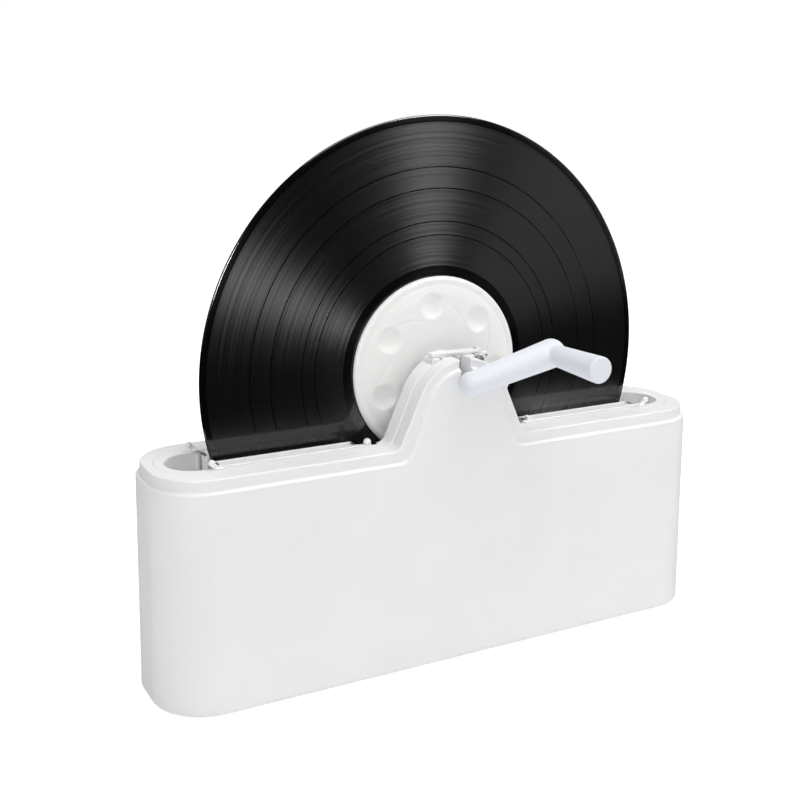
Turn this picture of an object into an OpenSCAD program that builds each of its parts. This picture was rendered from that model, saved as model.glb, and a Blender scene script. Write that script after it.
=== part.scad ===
// Hand-cranked record washer. The record stands on edge in a narrow bath and turns between brushes.
// Millimetres. X runs along the casing, the front faces -Y, Z is up.
// The origin is on the floor, straight under the middle of the record.

/* [Casing] */
// Length of the casing at its foot
casing_l = 377.4; // [368:0.2:400]
// Width of the casing at its foot
casing_w = 83.4; // [82:0.2:100]
// How much each side of the casing leans in from foot to shoulder
casing_draft = 2.5; // [1.5:0.1:3]
// Corner radius of the casing at its foot
casing_corner = 33; // [28:0.5:36]
// Height of the axle above the deck
axle_rise = 38.6; // [37:0.2:40]
// Height of the raised rim above the shoulder that runs round the casing
rim_h = 7.2; // [6.4:0.1:9]
// Width of the ledge between shoulder and raised rim
ledge_w = 2.5; // [1.5:0.1:3.5]
// Wall of the casing
casing_wall = 2.6; // [2:0.1:3.2]
// Thickness of the deck land that carries the tank
deck_t = 5.2; // [4.6:0.1:6]
// Height of the casing's lower edge above the floor
foot_gap = 1; // [0.6:0.1:1.6]

/* [Pillars] */
// Radius of the dome on top of each pillar
dome_r = 32; // [30:0.5:34]
// Lean of the pillar's flanks, in degrees
flank_lean = 24; // [18:1:28]
// Fillet where the pillar grows out of the deck
pillar_fillet = 6; // [4:0.5:8]
// Radius of the dome on the pillar's raised front face
face_r = 26.5; // [24:0.5:28]
// Lean of the flanks of the raised face, in degrees
face_lean = 21; // [16:1:24]
// Width of the slot that the axle drops into
axle_slot_w = 8; // [7.6:0.1:9]

/* [Tank] */
// Length of the opening in the deck
slot_l = 344; // [336:1:346]
// Width of the opening in the deck
slot_w = 34; // [33:0.5:36]
// Wall of the tank
tank_wall = 2; // [1.6:0.1:2.4]
// Depth of the upper gallery below the deck
gallery_depth = 30.6; // [28:0.2:34]
// Width of the narrow well below the gallery
well_w = 21; // [18:0.5:24]
// Gap between the record's edge and the curved floor of the well
well_gap = 7; // [5:0.5:9]
// Height of the tank's lowest point above the floor
tank_low_z = 17.2; // [12:0.2:24]
// Length of the flange that lies in the deck
flange_l = 356; // [352:1:358]
// Width of the flange that lies in the deck
flange_w = 51; // [48:0.5:52]
// Thickness of the flange
flange_t = 2.5; // [2:0.1:3]
// Joint gap all round the flange
seam = 0.5; // [0.3:0.1:0.8]
// Distance from the record's plane to the inner face of a pillar
pillar_back = 14; // [13.8:0.1:15]

/* [Record and axle] */
// Radius of the record
record_r = 151; // [149:0.5:151.5]
// Radius of the record's centre hole
hole_r = 3.63; // [3.6:0.01:3.7]
// Radius of the record's flat label area
label_r = 50; // [48:0.5:52]
// Thickness of the record at its label
label_t = 2.2; // [1.8:0.1:2.6]
// Thickness of the record between its grooves
groove_t = 1.7; // [1.4:0.1:1.7]
// Thickness of the record's rim bead
bead_t = 2; // [1.7:0.1:2.1]
// Radius of the axle
axle_r = 3.5; // [3.3:0.05:3.55]
// How far the axle reaches behind the record
axle_back = 38; // [34:0.5:39]

/* [Label clamps] */
// How far each clamp reaches past the label
clamp_reach = 6.2; // [5.6:0.1:8]
// Height of a clamp's rim above the middle of the record
clamp_rim = 4.2; // [3.8:0.1:4.6]
// Height of the front clamp's face beside its hub
clamp_dome = 7.6; // [6.5:0.1:8.5]
// Height of the rear clamp's face
rear_dome = 5.6; // [5.2:0.1:6]
// Radius of the front clamp's hub
hub_r = 11; // [9:0.2:13]
// Height of the front clamp's hub
hub_d = 11.3; // [10.5:0.1:11.4]
// Number of thumb dimples round a clamp
dimples = 7; // [6:1:9]
// Place of the first thumb dimple, in degrees round the axle
dimple_angle = 46; // [0:1:60]
// Width of one thumb dimple
dimple_w = 16; // [12:0.5:17]
// Depth of one thumb dimple
dimple_d = 2.2; // [1:0.1:2.4]
// Distance of the dimples from the axle
dimple_pos = 41; // [38:0.5:43]
// Section width of each seal ring
seal_w = 2.7; // [2:0.1:3]
// Radius of the clamp nut
nut_r = 13; // [10:0.5:15]
// Thickness of the clamp nut
nut_t = 4; // [3:0.1:4.4]
// Number of finger grips round the clamp nut
nut_grips = 10; // [6:1:12]

/* [Crank] */
// Reach of the crank from axle to grip
crank_reach = 52.0; // [50:0.1:60]
// Angle of the crank at rest above level, in degrees
crank_angle = 14.9; // [0:0.1:30]
// Distance from the record's plane to the middle of the arm at the axle
arm_y0 = 47.6; // [47.6:0.1:49]
// Distance from the record's plane to the middle of the arm at the elbow
arm_y = 52; // [52:0.5:56]
// Radius of the arm at the axle
arm_r_axle = 7.2; // [6.6:0.1:7.2]
// Radius of the arm at the elbow
arm_r_elbow = 8.9; // [7.6:0.1:9]
// Radius of the grip at the arm
grip_r0 = 6.5; // [6:0.1:7]
// Radius of the grip at its free end
grip_r = 7.8; // [7:0.1:8]
// Length of the turning grip
grip_l = 36.7; // [28:0.1:40]
// Radius of the spindle inside the grip
spindle_r = 4.2; // [3.5:0.1:4.6]
// Length of the cap on the end of the grip
cap_l = 2.8; // [2.4:0.1:4]

/* [Bearings] */
// Radius of each axle bush
bush_r = 5.4; // [5.2:0.05:5.6]
// Radius of the round foot of a bearing block
block_r = 10; // [9:0.1:10.4]
// Height of the bearing block's top above the axle
block_rise = 11.1; // [10:0.1:11.6]
// Height above the axle of the step that a bearing block sits on
seat_rise = 3.5; // [2.8:0.1:4.8]
// Distance of the latch pin to the right of the axle
latch_x = 18.2; // [17.8:0.1:19]
// Radius of the latch pin
latch_pin_r = 1.5; // [1.2:0.05:1.6]

/* [Brushes] */
// Distance from the middle to the inner end of a brush holder
brush_in = 60; // [59:0.5:62]
// Distance from the middle to the outer end of a brush holder
brush_out = 146.7; // [140:0.1:147]
// Distance from the record's plane to the holder's back wall
holder_y = 12.6; // [12:0.1:12.8]
// Thickness of the holder's walls
holder_wall = 2.2; // [1.8:0.1:2.3]
// Height of the bristle field
brush_h = 12.4; // [10:0.2:14]
// Bristle rows one above the other
bristle_rows = 3; // [2:1:4]
// Bristles in one row
bristle_cols = 36; // [20:1:40]
// Gap between the bristle tips and the record's bead
tip_gap = 0.35; // [0.2:0.05:0.6]

/* [Hidden] */
$fn = 64;

white = [0.93, 0.93, 0.92];
warm_white = [0.92, 0.91, 0.90];
cool_white = [0.86, 0.88, 0.91];
vinyl = [0.03, 0.03, 0.035];
rubber = [0.12, 0.12, 0.12];
steel = [0.35, 0.35, 0.37];
hair = [0.80, 0.79, 0.77];

// Running fit of a shaft in its bore
run_fit = 0.06;
// Play of a screw in its threaded hole, and of pieces held fast
press_fit = 0.05;
// Play of pieces pressed onto a shaft
tight_fit = 0.02;
// Gap between pieces that only lie beside each other
fit = 0.3;
// Overlap that joins two shapes of one piece
join = 0.1;

// Heights that follow from the record
axle_z = tank_low_z + tank_wall + well_gap + record_r;
deck_z = axle_z - axle_rise;
shoulder_z = deck_z - rim_h;
gallery_z = deck_z - gallery_depth;
block_z = axle_z + block_rise;
seat_z = axle_z + seat_rise;

// Casing
dome_rise = 18.9;
tank_room = 0.6;
shoulder_l = casing_l - 2*casing_draft;
shoulder_w = casing_w - 2*casing_draft + 0.2;
rim_l = shoulder_l - 2*ledge_w;
rim_w = shoulder_w - 2*ledge_w;
shoulder_corner = casing_corner - casing_draft/2;
rim_corner = shoulder_corner - ledge_w;
dome_z = deck_z + dome_rise;
face_y = shoulder_w/2;
rim_y = rim_w/2;
recess_l = flange_l + 2*seam;
recess_w = flange_w + 2*seam;
recess_y = recess_w/2;

// Tank
slot_corner = slot_w/2 - 0.5;
flange_corner = slot_corner + (flange_w - slot_w)/2;
well_r = record_r + well_gap;
pad_w = 2*(dome_r + 11);
pillar_wall = tank_wall + 0.6;

// Base screws and feet
boss_r = 4.2;
boss_h = 20;
boss_x = 140;
boss_y = casing_w/2 - casing_wall - 3.6;
screw_r = 1.25;
screw_head_r = 3.2;
screw_l = 15;
base_t = 2.4;
base_gap = 0.5;
foot_r = 9;
foot_inset = 0.6;
foot_x = 150;
foot_y = 20;

// Tank screws
tank_screw_r = 0.9;
tank_screw_head = 1.7;
tank_screw_l = 9;
tank_screw_spots = [[brush_out - 4.9, slot_w/2 + 5.2], [brush_in + 7, slot_w/2 + 5.2]];
tank_boss_r = 2.4;

// Record
label_step = 1.5;
bead_w = 5;
bead_step = 1.5;
bead_round = 0.6;

// Clamps
clamp_r = label_r + clamp_reach;
seal_out = clamp_r - 0.8;
seal_in = seal_out - seal_w;
clamp_back = label_t/2 + 0.5;
seal_top = clamp_back + 1.3;
press_r = 14;
nut_y = rear_dome + fit;

// Crank
elbow_x = crank_reach*cos(crank_angle);
elbow_z = axle_z + crank_reach*sin(crank_angle);
grip_y0 = arm_y + arm_r_elbow + 0.4;
grip_y1 = grip_y0 + grip_l;
cap_y0 = grip_y1 + 0.2;
cap_y1 = cap_y0 + cap_l;
boss_face = face_y + 0.9;
arm_past = 1.8;
crank_boss_r = 5.2;

// Bearings
block_y0 = pillar_back + 0.2;
block_y1 = flange_w/2 - fit;
block_half = 15.6;
block_right = 13.3;
arm_z0 = block_z + fit;
arm_t = 2.2;
latch_z = arm_z0 - 3.2;
barrel_r = 3;
ear_t = 2.8;
ear_r = 3.2;
barrel_y0 = block_y0 + ear_t + fit;
barrel_y1 = barrel_y0 + 4;
latch_end = 14.6;
tongue_x = 1.9;
tongue_w = 3.1;
catch_x = 9.8;
catch_w = 0.6;
catch_d = 4.4;
tail_l = 8.8;
tail_t = 4;
tail_drop = 1.4;
tail_hole_r = 0.9;
bush_flange_y0 = pillar_back - 1.3;
bush_flange_t = 1.2;
clip_y0 = hub_d + 0.3;

// Brushes
end_t = 2.4;
cover_t = 1;
cover_z1 = deck_z - 0.2;
cover_z0 = cover_z1 - cover_t;
cover_in = bead_t/2 + 4.7;
lip_w = 2.2;
lip_z1 = deck_z + 1.1;
holder_under = 4.6;
plate_in = 3;
plate_out = slot_w/2 - 0.4;
lug_z0 = deck_z + 0.1;
lug_t = 0.9;
peg_r = 1.3;
peg_head = 1.9;
peg_lean = 3.2;
peg_rise = 3.8;
peg_y = slot_w/2 + 2.6;
knob_r = 2.2;
knob_y = slot_w/2 + 1.9;
knob_z = deck_z + 2.7;
block_top = deck_z + 2.9;
hair_z1 = cover_z0 - 0.4;
hair_z0 = hair_z1 - brush_h;
holder_z0 = hair_z0 - holder_under;
hair_tip = bead_t/2 + tip_gap;
hair_back = holder_y - 0.1;
slice_t = 1.6;
hair_r = 0.65;

// Shared shapes

// Rectangle with round corners, centred, made of true arcs
module round_rect(l, w, r) {
    square([l, w - 2*r], center = true);
    square([l - 2*r, w], center = true);
    for (sx = [-1, 1], sy = [-1, 1])
        translate([sx*(l/2 - r), sy*(w/2 - r)]) circle(r);
}

// Upright slab of a rounded rectangle
module slab(l, w, r, z0, z1) {
    translate([0, 0, z0]) linear_extrude(z1 - z0) round_rect(l, w, r);
}

// Slab that leans in from a lower outline to an upper one
module leaning_slab(l0, w0, r0, z0, l1, w1, r1, z1) {
    hull() {
        slab(l0, w0, r0, z0, z0 + 0.01);
        slab(l1, w1, r1, z1 - 0.01, z1);
    }
}

// Extrudes an XZ drawing from one depth to a deeper one
module along_y(y0, y1) {
    translate([0, y1, 0]) rotate([90, 0, 0]) linear_extrude(y1 - y0) children();
}

// The front and the rear copy of a shape that is drawn for the rear
module both_sides() {
    children();
    mirror([0, 1, 0]) children();
}

// All four corner copies of a shape that is drawn for the rear right
module four_corners() {
    for (sx = [0, 1], sy = [0, 1]) mirror([sx, 0, 0]) mirror([0, sy, 0]) children();
}

// Moves to the axle line, with the drawing's axis along +Y
module on_axle() {
    translate([0, 0, axle_z]) rotate([-90, 0, 0]) children();
}

// Moves to the axle line, with the drawing's axis along -Y
module on_axle_front() {
    translate([0, 0, axle_z]) rotate([90, 0, 0]) children();
}

// Right half of a bell outline: dome, straight flank, then a base fillet onto the level z0
function bell_half(r, lean, fillet, z0, steps = 12) =
    let(
        tx = r*cos(lean),
        tz = dome_z + r*sin(lean),
        pz = z0 + fillet - fillet*sin(lean),
        px = tx + (tz - pz)*tan(lean),
        cx = px + fillet*cos(lean),
        cz = z0 + fillet
    )
    concat(
        [for (i = [0:steps]) let(a = 90 - (90 - lean)*i/steps) [r*cos(a), dome_z + r*sin(a)]],
        [for (i = [0:steps/2]) let(a = 180 + lean + (90 - lean)*i/(steps/2))
            [cx + fillet*cos(a), cz + fillet*sin(a)]]
    );

// Whole bell outline, carried down to the height foot
module bell(r, lean, fillet, z0, foot) {
    half = bell_half(r, lean, fillet, z0);
    last = half[len(half) - 1];
    right = concat(half, [[last[0], foot]]);
    left = [for (i = [len(right) - 1:-1:1]) [-right[i][0], right[i][1]]];
    polygon(concat(right, left));
}

// The pillar's own outline, drawn in by inset
module pillar_outline(inset, foot) {
    bell(dome_r - inset, flank_lean, pillar_fillet + inset, deck_z - inset, foot);
}

// Casing and base

// Pillar half that belongs to the casing, drawn for the rear
module casing_pillar() {
    difference() {
        union() {
            along_y(rim_y - join, face_y)
                bell(face_r, face_lean, pillar_fillet, shoulder_z, shoulder_z - 2);
            along_y(recess_y, rim_y) pillar_outline(0, deck_z - 1);
        }
        along_y(recess_y - 1, rim_y - casing_wall) pillar_outline(casing_wall, deck_z - casing_wall - 1);
    }
}

// Slot that lets the axle drop in from above
module axle_slot() {
    along_y(recess_y - 1, face_y + 1) {
        translate([0, axle_z]) circle(axle_slot_w/2);
        translate([-axle_slot_w/2, axle_z]) square([axle_slot_w, dome_r]);
    }
}

// Spots of the base screws
module at_base_screws() {
    for (x = [-boss_x, 0, boss_x], sy = [-1, 1]) translate([x, sy*boss_y, 0]) children();
}

// Spots of the tank screws
module at_tank_screws() {
    for (spot = tank_screw_spots, sx = [-1, 1], sy = [-1, 1])
        translate([sx*spot[0], sy*spot[1], 0]) children();
}

module outer_casing() {
    inner_top = shoulder_z - casing_wall;
    color(white) difference() {
        union() {
            difference() {
                union() {
                    leaning_slab(casing_l, casing_w, casing_corner, foot_gap,
                        shoulder_l, shoulder_w, shoulder_corner, shoulder_z);
                    slab(rim_l, rim_w, rim_corner, shoulder_z - 1, deck_z);
                }
                leaning_slab(casing_l - 2*casing_wall, casing_w - 2*casing_wall, casing_corner - casing_wall,
                    foot_gap - 1, shoulder_l - 2*casing_wall, shoulder_w - 2*casing_wall,
                    shoulder_corner - casing_wall, inner_top);
                slab(rim_l - 2*casing_wall, rim_w - 2*casing_wall, rim_corner - casing_wall,
                    inner_top - 1, deck_z - deck_t);
                slab(recess_l, recess_w, flange_corner + seam, deck_z - flange_t - 0.2, deck_z + 1);
                slab(slot_l + 2*tank_wall + 2*tank_room, slot_w + 2*tank_wall + 2*tank_room,
                    slot_corner + tank_wall + tank_room,
                    inner_top - 1, deck_z);
            }
            both_sides() casing_pillar();
            at_base_screws() translate([0, 0, foot_gap + base_t + 0.2]) cylinder(r = boss_r, h = boss_h);
            at_tank_screws() translate([0, 0, deck_z - flange_t - 0.3 - tank_screw_l])
                cylinder(r = tank_boss_r, h = tank_screw_l);
        }
        both_sides() axle_slot();
        at_base_screws() cylinder(r = screw_r + press_fit, h = screw_l + foot_gap + 2);
        at_tank_screws() translate([0, 0, deck_z - tank_screw_l - 0.5])
            cylinder(r = tank_screw_r + press_fit, h = tank_screw_l);
    }
}

module base_plate() {
    color(white) difference() {
        slab(casing_l - 2*(casing_wall + base_gap), casing_w - 2*(casing_wall + base_gap),
            casing_corner - casing_wall - base_gap, foot_gap, foot_gap + base_t);
        at_feet() cylinder(r = foot_r + 0.2, h = foot_gap + foot_inset);
        at_base_screws() {
            cylinder(r = screw_r + 0.5, h = 10);
            translate([0, 0, foot_gap]) cylinder(r1 = screw_head_r + 0.1, r2 = screw_r + 0.5, h = 1.7);
        }
    }
}

// Spots of the five feet
module at_feet() {
    for (sx = [-1, 1], sy = [-1, 1]) translate([sx*foot_x, sy*foot_y, 0]) children();
    children();
}

module rubber_feet() {
    color(rubber) at_feet() {
        cylinder(r = foot_r, h = foot_gap + foot_inset);
    }
}

// Countersunk screw with its head down, its face at height zero
module base_screw() {
    cylinder(r1 = screw_head_r, r2 = screw_r, h = 1.6);
    cylinder(r = screw_r, h = screw_l);
}

module base_screws() {
    color(steel) at_base_screws() translate([0, 0, foot_gap]) base_screw();
}

// Countersunk screw with its head up, its face at height zero
module tank_screw() {
    translate([0, 0, -0.8]) cylinder(r1 = tank_screw_r, r2 = tank_screw_head, h = 0.8);
    translate([0, 0, -tank_screw_l]) cylinder(r = tank_screw_r, h = tank_screw_l - 0.4);
}

module tank_screws() {
    color(steel) at_tank_screws() translate([0, 0, deck_z]) tank_screw();
}

// Tank

// Curved well that follows the record's edge, grown by grow on every side
module well(grow, top) {
    intersection() {
        on_axle() translate([0, 0, -well_w/2 - grow])
            cylinder(r = well_r + grow, h = well_w + 2*grow, $fn = 128);
        translate([-2*well_r, -well_w, 0]) cube([4*well_r, 2*well_w, top]);
    }
}

// Pillar half that belongs to the tank, drawn for the rear
module tank_pillar() {
    housing = block_half + 3;
    difference() {
        along_y(pillar_back, flange_w/2) pillar_outline(0, deck_z - flange_t);
        difference() {
            along_y(pillar_back + pillar_wall, flange_w/2 + 1)
                pillar_outline(pillar_wall, deck_z - pillar_wall - 1);
            along_y(pillar_back, flange_w/2 + 2)
                translate([-housing, axle_z - block_r - 3]) square([2*housing, dome_r]);
        }
    }
    translate([-pad_w/2, pillar_back, gallery_z - join])
        cube([pad_w, slot_w/2 - pillar_back + 1, deck_z - gallery_z]);
}

// Pocket in the pillar that the bearing block drops into, drawn for the rear
module block_pocket() {
    along_y(pillar_back - 1, flange_w/2 + 1) {
        translate([0, axle_z]) circle(block_r + fit);
        translate([-block_r - fit, axle_z]) square([2*(block_r + fit), dome_r]);
        translate([-block_half - fit, seat_z]) square([block_half + block_right + 2*fit, dome_r]);
        translate([block_right, seat_z - 5.2]) square([dome_r, dome_r]);
    }
}

// Ribs on the tank wall that guide one end plate of a brush holder, drawn for the rear right
module guide_ribs(x0) {
    for (x = [x0 - fit - 1.7, x0 + end_t + fit])
        translate([x, slot_w/2 - 1.6, gallery_z - join]) cube([1.7, 1.7, deck_z - gallery_z - 1.5]);
}

module tank() {
    color(white) difference() {
        union() {
            difference() {
                union() {
                    slab(flange_l, flange_w, flange_corner, deck_z - flange_t, deck_z);
                    slab(slot_l + 2*tank_wall, slot_w + 2*tank_wall, slot_corner + tank_wall,
                        gallery_z - tank_wall, deck_z);
                    well(tank_wall, gallery_z - join);
                }
                slab(slot_l, slot_w, slot_corner, gallery_z, deck_z + 1);
                well(0, gallery_z + 1);
            }
            both_sides() tank_pillar();
            four_corners() guide_ribs(brush_in);
            four_corners() guide_ribs(brush_out - end_t);
        }
        both_sides() block_pocket();
        at_tank_screws() {
            translate([0, 0, deck_z - 10]) cylinder(r = tank_screw_r + 0.2, h = 12);
            translate([0, 0, deck_z - 0.9])
                cylinder(r1 = tank_screw_r + 0.2, r2 = tank_screw_head + 0.15, h = 0.9);
        }
    }
}

// Bearings, drawn for the rear and mirrored for the front

module bearing_block() {
    difference() {
        union() {
            along_y(block_y0, block_y1) {
                translate([0, axle_z]) circle(block_r);
                translate([-block_r, axle_z]) square([2*block_r, block_z - axle_z]);
                translate([-block_half, seat_z]) square([block_half + block_right, block_z - seat_z]);
            }
            along_y(block_y0, block_y0 + ear_t) {
                translate([latch_x, latch_z]) circle(ear_r);
                translate([block_right - 1, seat_z])
                    square([latch_x - block_right + 1, latch_z + ear_r - seat_z]);
            }
        }
        along_y(block_y0 - 1, block_y1 + 1) {
            translate([0, axle_z]) circle(bush_r + press_fit);
            translate([-bush_r - press_fit, axle_z]) square([2*(bush_r + press_fit), dome_r]);
            translate([-catch_x - fit, arm_z0 - catch_d - 2*fit - join]) square([catch_w + 2*fit, dome_r]);
            translate([latch_x, latch_z]) circle(latch_pin_r + press_fit);
        }
    }
}

// Flanged bush that the axle turns in
module bush() {
    on_axle() difference() {
        union() {
            translate([0, 0, block_y0]) cylinder(r = bush_r, h = block_y1 - block_y0);
            translate([0, 0, bush_flange_y0]) cylinder(r = bush_r + 2, h = bush_flange_t);
            translate([0, 0, bush_flange_y0 + join]) cylinder(r = bush_r, h = 2);
        }
        cylinder(r = axle_r + run_fit, h = flange_w);
    }
}

// Swing latch that holds the bush down, with a thumb tab at its hinge end
module latch() {
    difference() {
        union() {
            along_y(barrel_y0, barrel_y1) {
                translate([latch_x, latch_z]) circle(barrel_r);
                translate([latch_x - barrel_r, latch_z]) square([2*barrel_r, arm_z0 + arm_t - latch_z]);
                translate([latch_x, latch_z - tail_drop]) square([tail_l, tail_t]);
            }
            along_y(barrel_y0, barrel_y1 + 2) {
                translate([-latch_end, arm_z0]) square([latch_x + latch_end, arm_t]);
                translate([tongue_x, axle_z + bush_r + 2*fit]) square([tongue_w, arm_z0 - axle_z - bush_r]);
                translate([-catch_x, arm_z0 - catch_d]) square([catch_w, catch_d + 2*fit]);
            }
        }
        along_y(barrel_y0 - 1, barrel_y1 + 1) {
            translate([latch_x, latch_z]) circle(latch_pin_r + run_fit);
            translate([latch_x + 0.75*tail_l, latch_z - tail_drop + tail_t/2]) circle(tail_hole_r);
        }
    }
}

// Steel pin that the latch swings on
module latch_pin() {
    translate([latch_x, 0, latch_z]) rotate([-90, 0, 0]) {
        translate([0, 0, block_y0]) cylinder(r = latch_pin_r, h = block_y1 - block_y0 - 0.8);
        translate([0, 0, block_y1 - 0.8]) cylinder(r = latch_pin_r + 1, h = 0.8);
    }
}

module front_bearing_block() { color(white) mirror([0, 1, 0]) bearing_block(); }
module rear_bearing_block() { color(white) bearing_block(); }
module front_bush() { color(warm_white) mirror([0, 1, 0]) bush(); }
module rear_bush() { color(warm_white) bush(); }
module front_latch() { color(white) mirror([0, 1, 0]) latch(); }
module rear_latch() { color(white) latch(); }
module latch_pins() { color(steel) both_sides() latch_pin(); }

// Axle, record and clamps

module axle() {
    color(steel) on_axle() translate([0, 0, -arm_y0 - 3]) cylinder(r = axle_r, h = arm_y0 + 3 + axle_back);
}

module axle_clip() {
    color(steel) on_axle_front() translate([0, 0, clip_y0]) difference() {
        cylinder(r = axle_r + 2, h = 0.8);
        translate([0, 0, -1]) cylinder(r = axle_r + tight_fit, h = 3);
        translate([-1, 0, -1]) cube([2, 10, 3]);
    }
}

module record() {
    color(vinyl) on_axle() rotate_extrude($fn = 180) polygon([
        [hole_r, -label_t/2], [label_r, -label_t/2], [label_r + label_step, -groove_t/2],
        [record_r - bead_w, -groove_t/2], [record_r - bead_w + bead_step, -bead_t/2],
        [record_r - bead_round, -bead_t/2], [record_r, -bead_t/2 + bead_round],
        [record_r, bead_t/2 - bead_round], [record_r - bead_round, bead_t/2],
        [record_r - bead_w + bead_step, bead_t/2], [record_r - bead_w, groove_t/2],
        [label_r + label_step, groove_t/2], [label_r, label_t/2], [hole_r, label_t/2]]);
}

// Half section of a label clamp: its face rises from the rim to dome, then to the hub
module clamp_section(dome, hub) {
    polygon([
        [axle_r + press_fit, label_t/2 + press_fit], [press_r, label_t/2 + press_fit],
        [press_r, clamp_back],
        [seal_in - 0.1, clamp_back], [seal_in - 0.1, seal_top + 0.1], [seal_out + 0.1, seal_top + 0.1],
        [seal_out + 0.1, groove_t/2 + 0.4], [clamp_r - 0.3, groove_t/2 + 0.4],
        [clamp_r, groove_t/2 + 0.7], [clamp_r, clamp_rim - 1.6],
        [clamp_r - 0.5, clamp_rim - 0.9], [clamp_r - 1.8, clamp_rim - 0.1], [clamp_r - 2.6, clamp_rim],
        [clamp_r - 5, clamp_rim], [clamp_r - 6.2, clamp_rim + 0.4],
        [dimple_pos + 4, clamp_rim + (dome - clamp_rim)*0.45],
        [dimple_pos - 8, clamp_rim + (dome - clamp_rim)*0.8],
        [hub_r + 8, dome], [hub_r + 0.4, dome], [hub_r, hub - 0.5],
        [hub_r - 0.5, hub], [axle_r + press_fit, hub]]);
}

// Label clamp with its thumb dimples, drawn for the rear
module clamp(dome, hub) {
    ball = (dimple_d*dimple_d + dimple_w*dimple_w/4)/(2*dimple_d);
    face = clamp_rim + (dome - clamp_rim)*0.55;
    on_axle() difference() {
        rotate_extrude($fn = 120) clamp_section(dome, hub);
        for (i = [0:dimples - 1]) rotate([0, 0, 360*i/dimples - dimple_angle])
            translate([dimple_pos, 0, face + ball - dimple_d]) sphere(ball);
    }
}

module seal() {
    on_axle() translate([0, 0, groove_t/2 + press_fit]) difference() {
        cylinder(r = seal_out, h = seal_top - groove_t/2 - press_fit);
        translate([0, 0, -1]) cylinder(r = seal_in, h = 10);
    }
}

module front_clamp() { color(warm_white) mirror([0, 1, 0]) clamp(clamp_dome, hub_d); }
module rear_clamp() { color(warm_white) clamp(rear_dome, rear_dome); }
module front_seal() { color(rubber) mirror([0, 1, 0]) seal(); }
module rear_seal() { color(rubber) seal(); }

module clamp_nut() {
    color(cool_white) on_axle() translate([0, 0, nut_y]) difference() {
        cylinder(r = nut_r, h = nut_t);
        translate([0, 0, -1]) cylinder(r = axle_r + run_fit, h = nut_t + 2);
        for (i = [0:nut_grips - 1]) rotate([0, 0, 360*i/nut_grips])
            translate([nut_r + 0.8, 0, -1]) cylinder(r = 2.2, h = nut_t + 2);
    }
}

// Crank

// Tapered round bar with domed ends, standing on the origin
module domed_bar(r0, r1, l, steps = 8) {
    rotate_extrude() polygon(concat(
        [for (i = [0:steps]) let(a = -90 + 90*i/steps) [r0*cos(a), r0*sin(a)]],
        [for (i = [0:steps]) let(a = 90*i/steps) [r1*cos(a), l + r1*sin(a)]]));
}

// The arm starts a little past the axle and leans out towards the elbow, clear of the front wall
module crank_arm() {
    past = arm_past*[cos(crank_angle), 0, sin(crank_angle)];
    lean = [elbow_x, arm_y0 - arm_y, elbow_z - axle_z] + past;
    color(cool_white) difference() {
        union() {
            translate([0, -arm_y0, axle_z] - past)
                rotate([0, acos(lean[2]/norm(lean)), atan2(lean[1], lean[0])])
                    domed_bar(arm_r_axle, arm_r_elbow, norm(lean));
            on_axle_front() translate([0, 0, boss_face])
                cylinder(r = crank_boss_r, h = arm_y0 - boss_face);
            translate([elbow_x, -arm_y, elbow_z]) rotate([90, 0, 0]) {
                cylinder(r = grip_r0, h = grip_y0 - arm_y - 0.2);
                cylinder(r = spindle_r, h = cap_y1 - arm_y - 1.2);
            }
        }
        on_axle_front() translate([0, 0, boss_face - 1])
            cylinder(r = axle_r + tight_fit, h = arm_y0 + 4.2 - boss_face);
    }
}

module crank_grip() {
    color(cool_white) translate([elbow_x, -grip_y0, elbow_z]) rotate([90, 0, 0]) rotate_extrude() polygon([
        [spindle_r + run_fit, 0], [grip_r0 - 0.3, 0], [grip_r0, 0.3], [grip_r, grip_l - 0.3],
        [grip_r - 0.3, grip_l], [spindle_r + run_fit, grip_l]]);
}

module grip_cap() {
    tip = cap_l - 1.15;
    color(cool_white) translate([elbow_x, -cap_y0, elbow_z]) rotate([90, 0, 0]) rotate_extrude() polygon([
        [spindle_r + tight_fit, 0], [grip_r - 0.3, 0], [grip_r, 0.3], [grip_r, cap_l - 1.4],
        [grip_r - 0.4, cap_l - 0.5], [grip_r - 1.3, cap_l], [0, cap_l], [0, tip],
        [spindle_r + tight_fit, tip]]);
}

// Brushes, drawn for the rear right

// Flat lug that lies on the deck and is fused to the lip
module lug(x0, x1, y1) {
    translate([x0, slot_w/2 - 0.8, lug_z0]) cube([x1 - x0, y1 - slot_w/2 + 0.8, lug_t]);
}

// Finger peg that leans outwards, with a ball on its end
module peg() {
    intersection() {
        translate([brush_out + 1.9, peg_y, lug_z0 + 0.4]) rotate([0, atan2(peg_lean, peg_rise - 0.5), 0]) {
            cylinder(r = peg_r, h = norm([peg_lean, peg_rise - 0.5]));
            translate([0, 0, norm([peg_lean, peg_rise - 0.5])]) sphere(peg_head, $fn = 32);
        }
        translate([brush_out - 2, peg_y - 4, lug_z0]) cube([12, 8, 10]);
    }
}

// Section of the cover over the hair, with a bead inside and a lip that rests on the deck
module cover_section() {
    polygon([
        [cover_in, cover_z0], [slot_w/2 - fit, cover_z0], [slot_w/2 - fit, lug_z0],
        [slot_w/2 + lip_w, lug_z0], [slot_w/2 + lip_w, lip_z1 - 0.5], [slot_w/2 + lip_w - 0.5, lip_z1],
        [slot_w/2 - 0.6, lip_z1], [slot_w/2 - 1.4, lip_z1 - 0.4], [slot_w/2 - 1.6, cover_z1],
        [cover_in + 1.2, cover_z1], [cover_in + 0.9, cover_z1 + 0.3], [cover_in, cover_z1 + 0.3]]);
}

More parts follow.
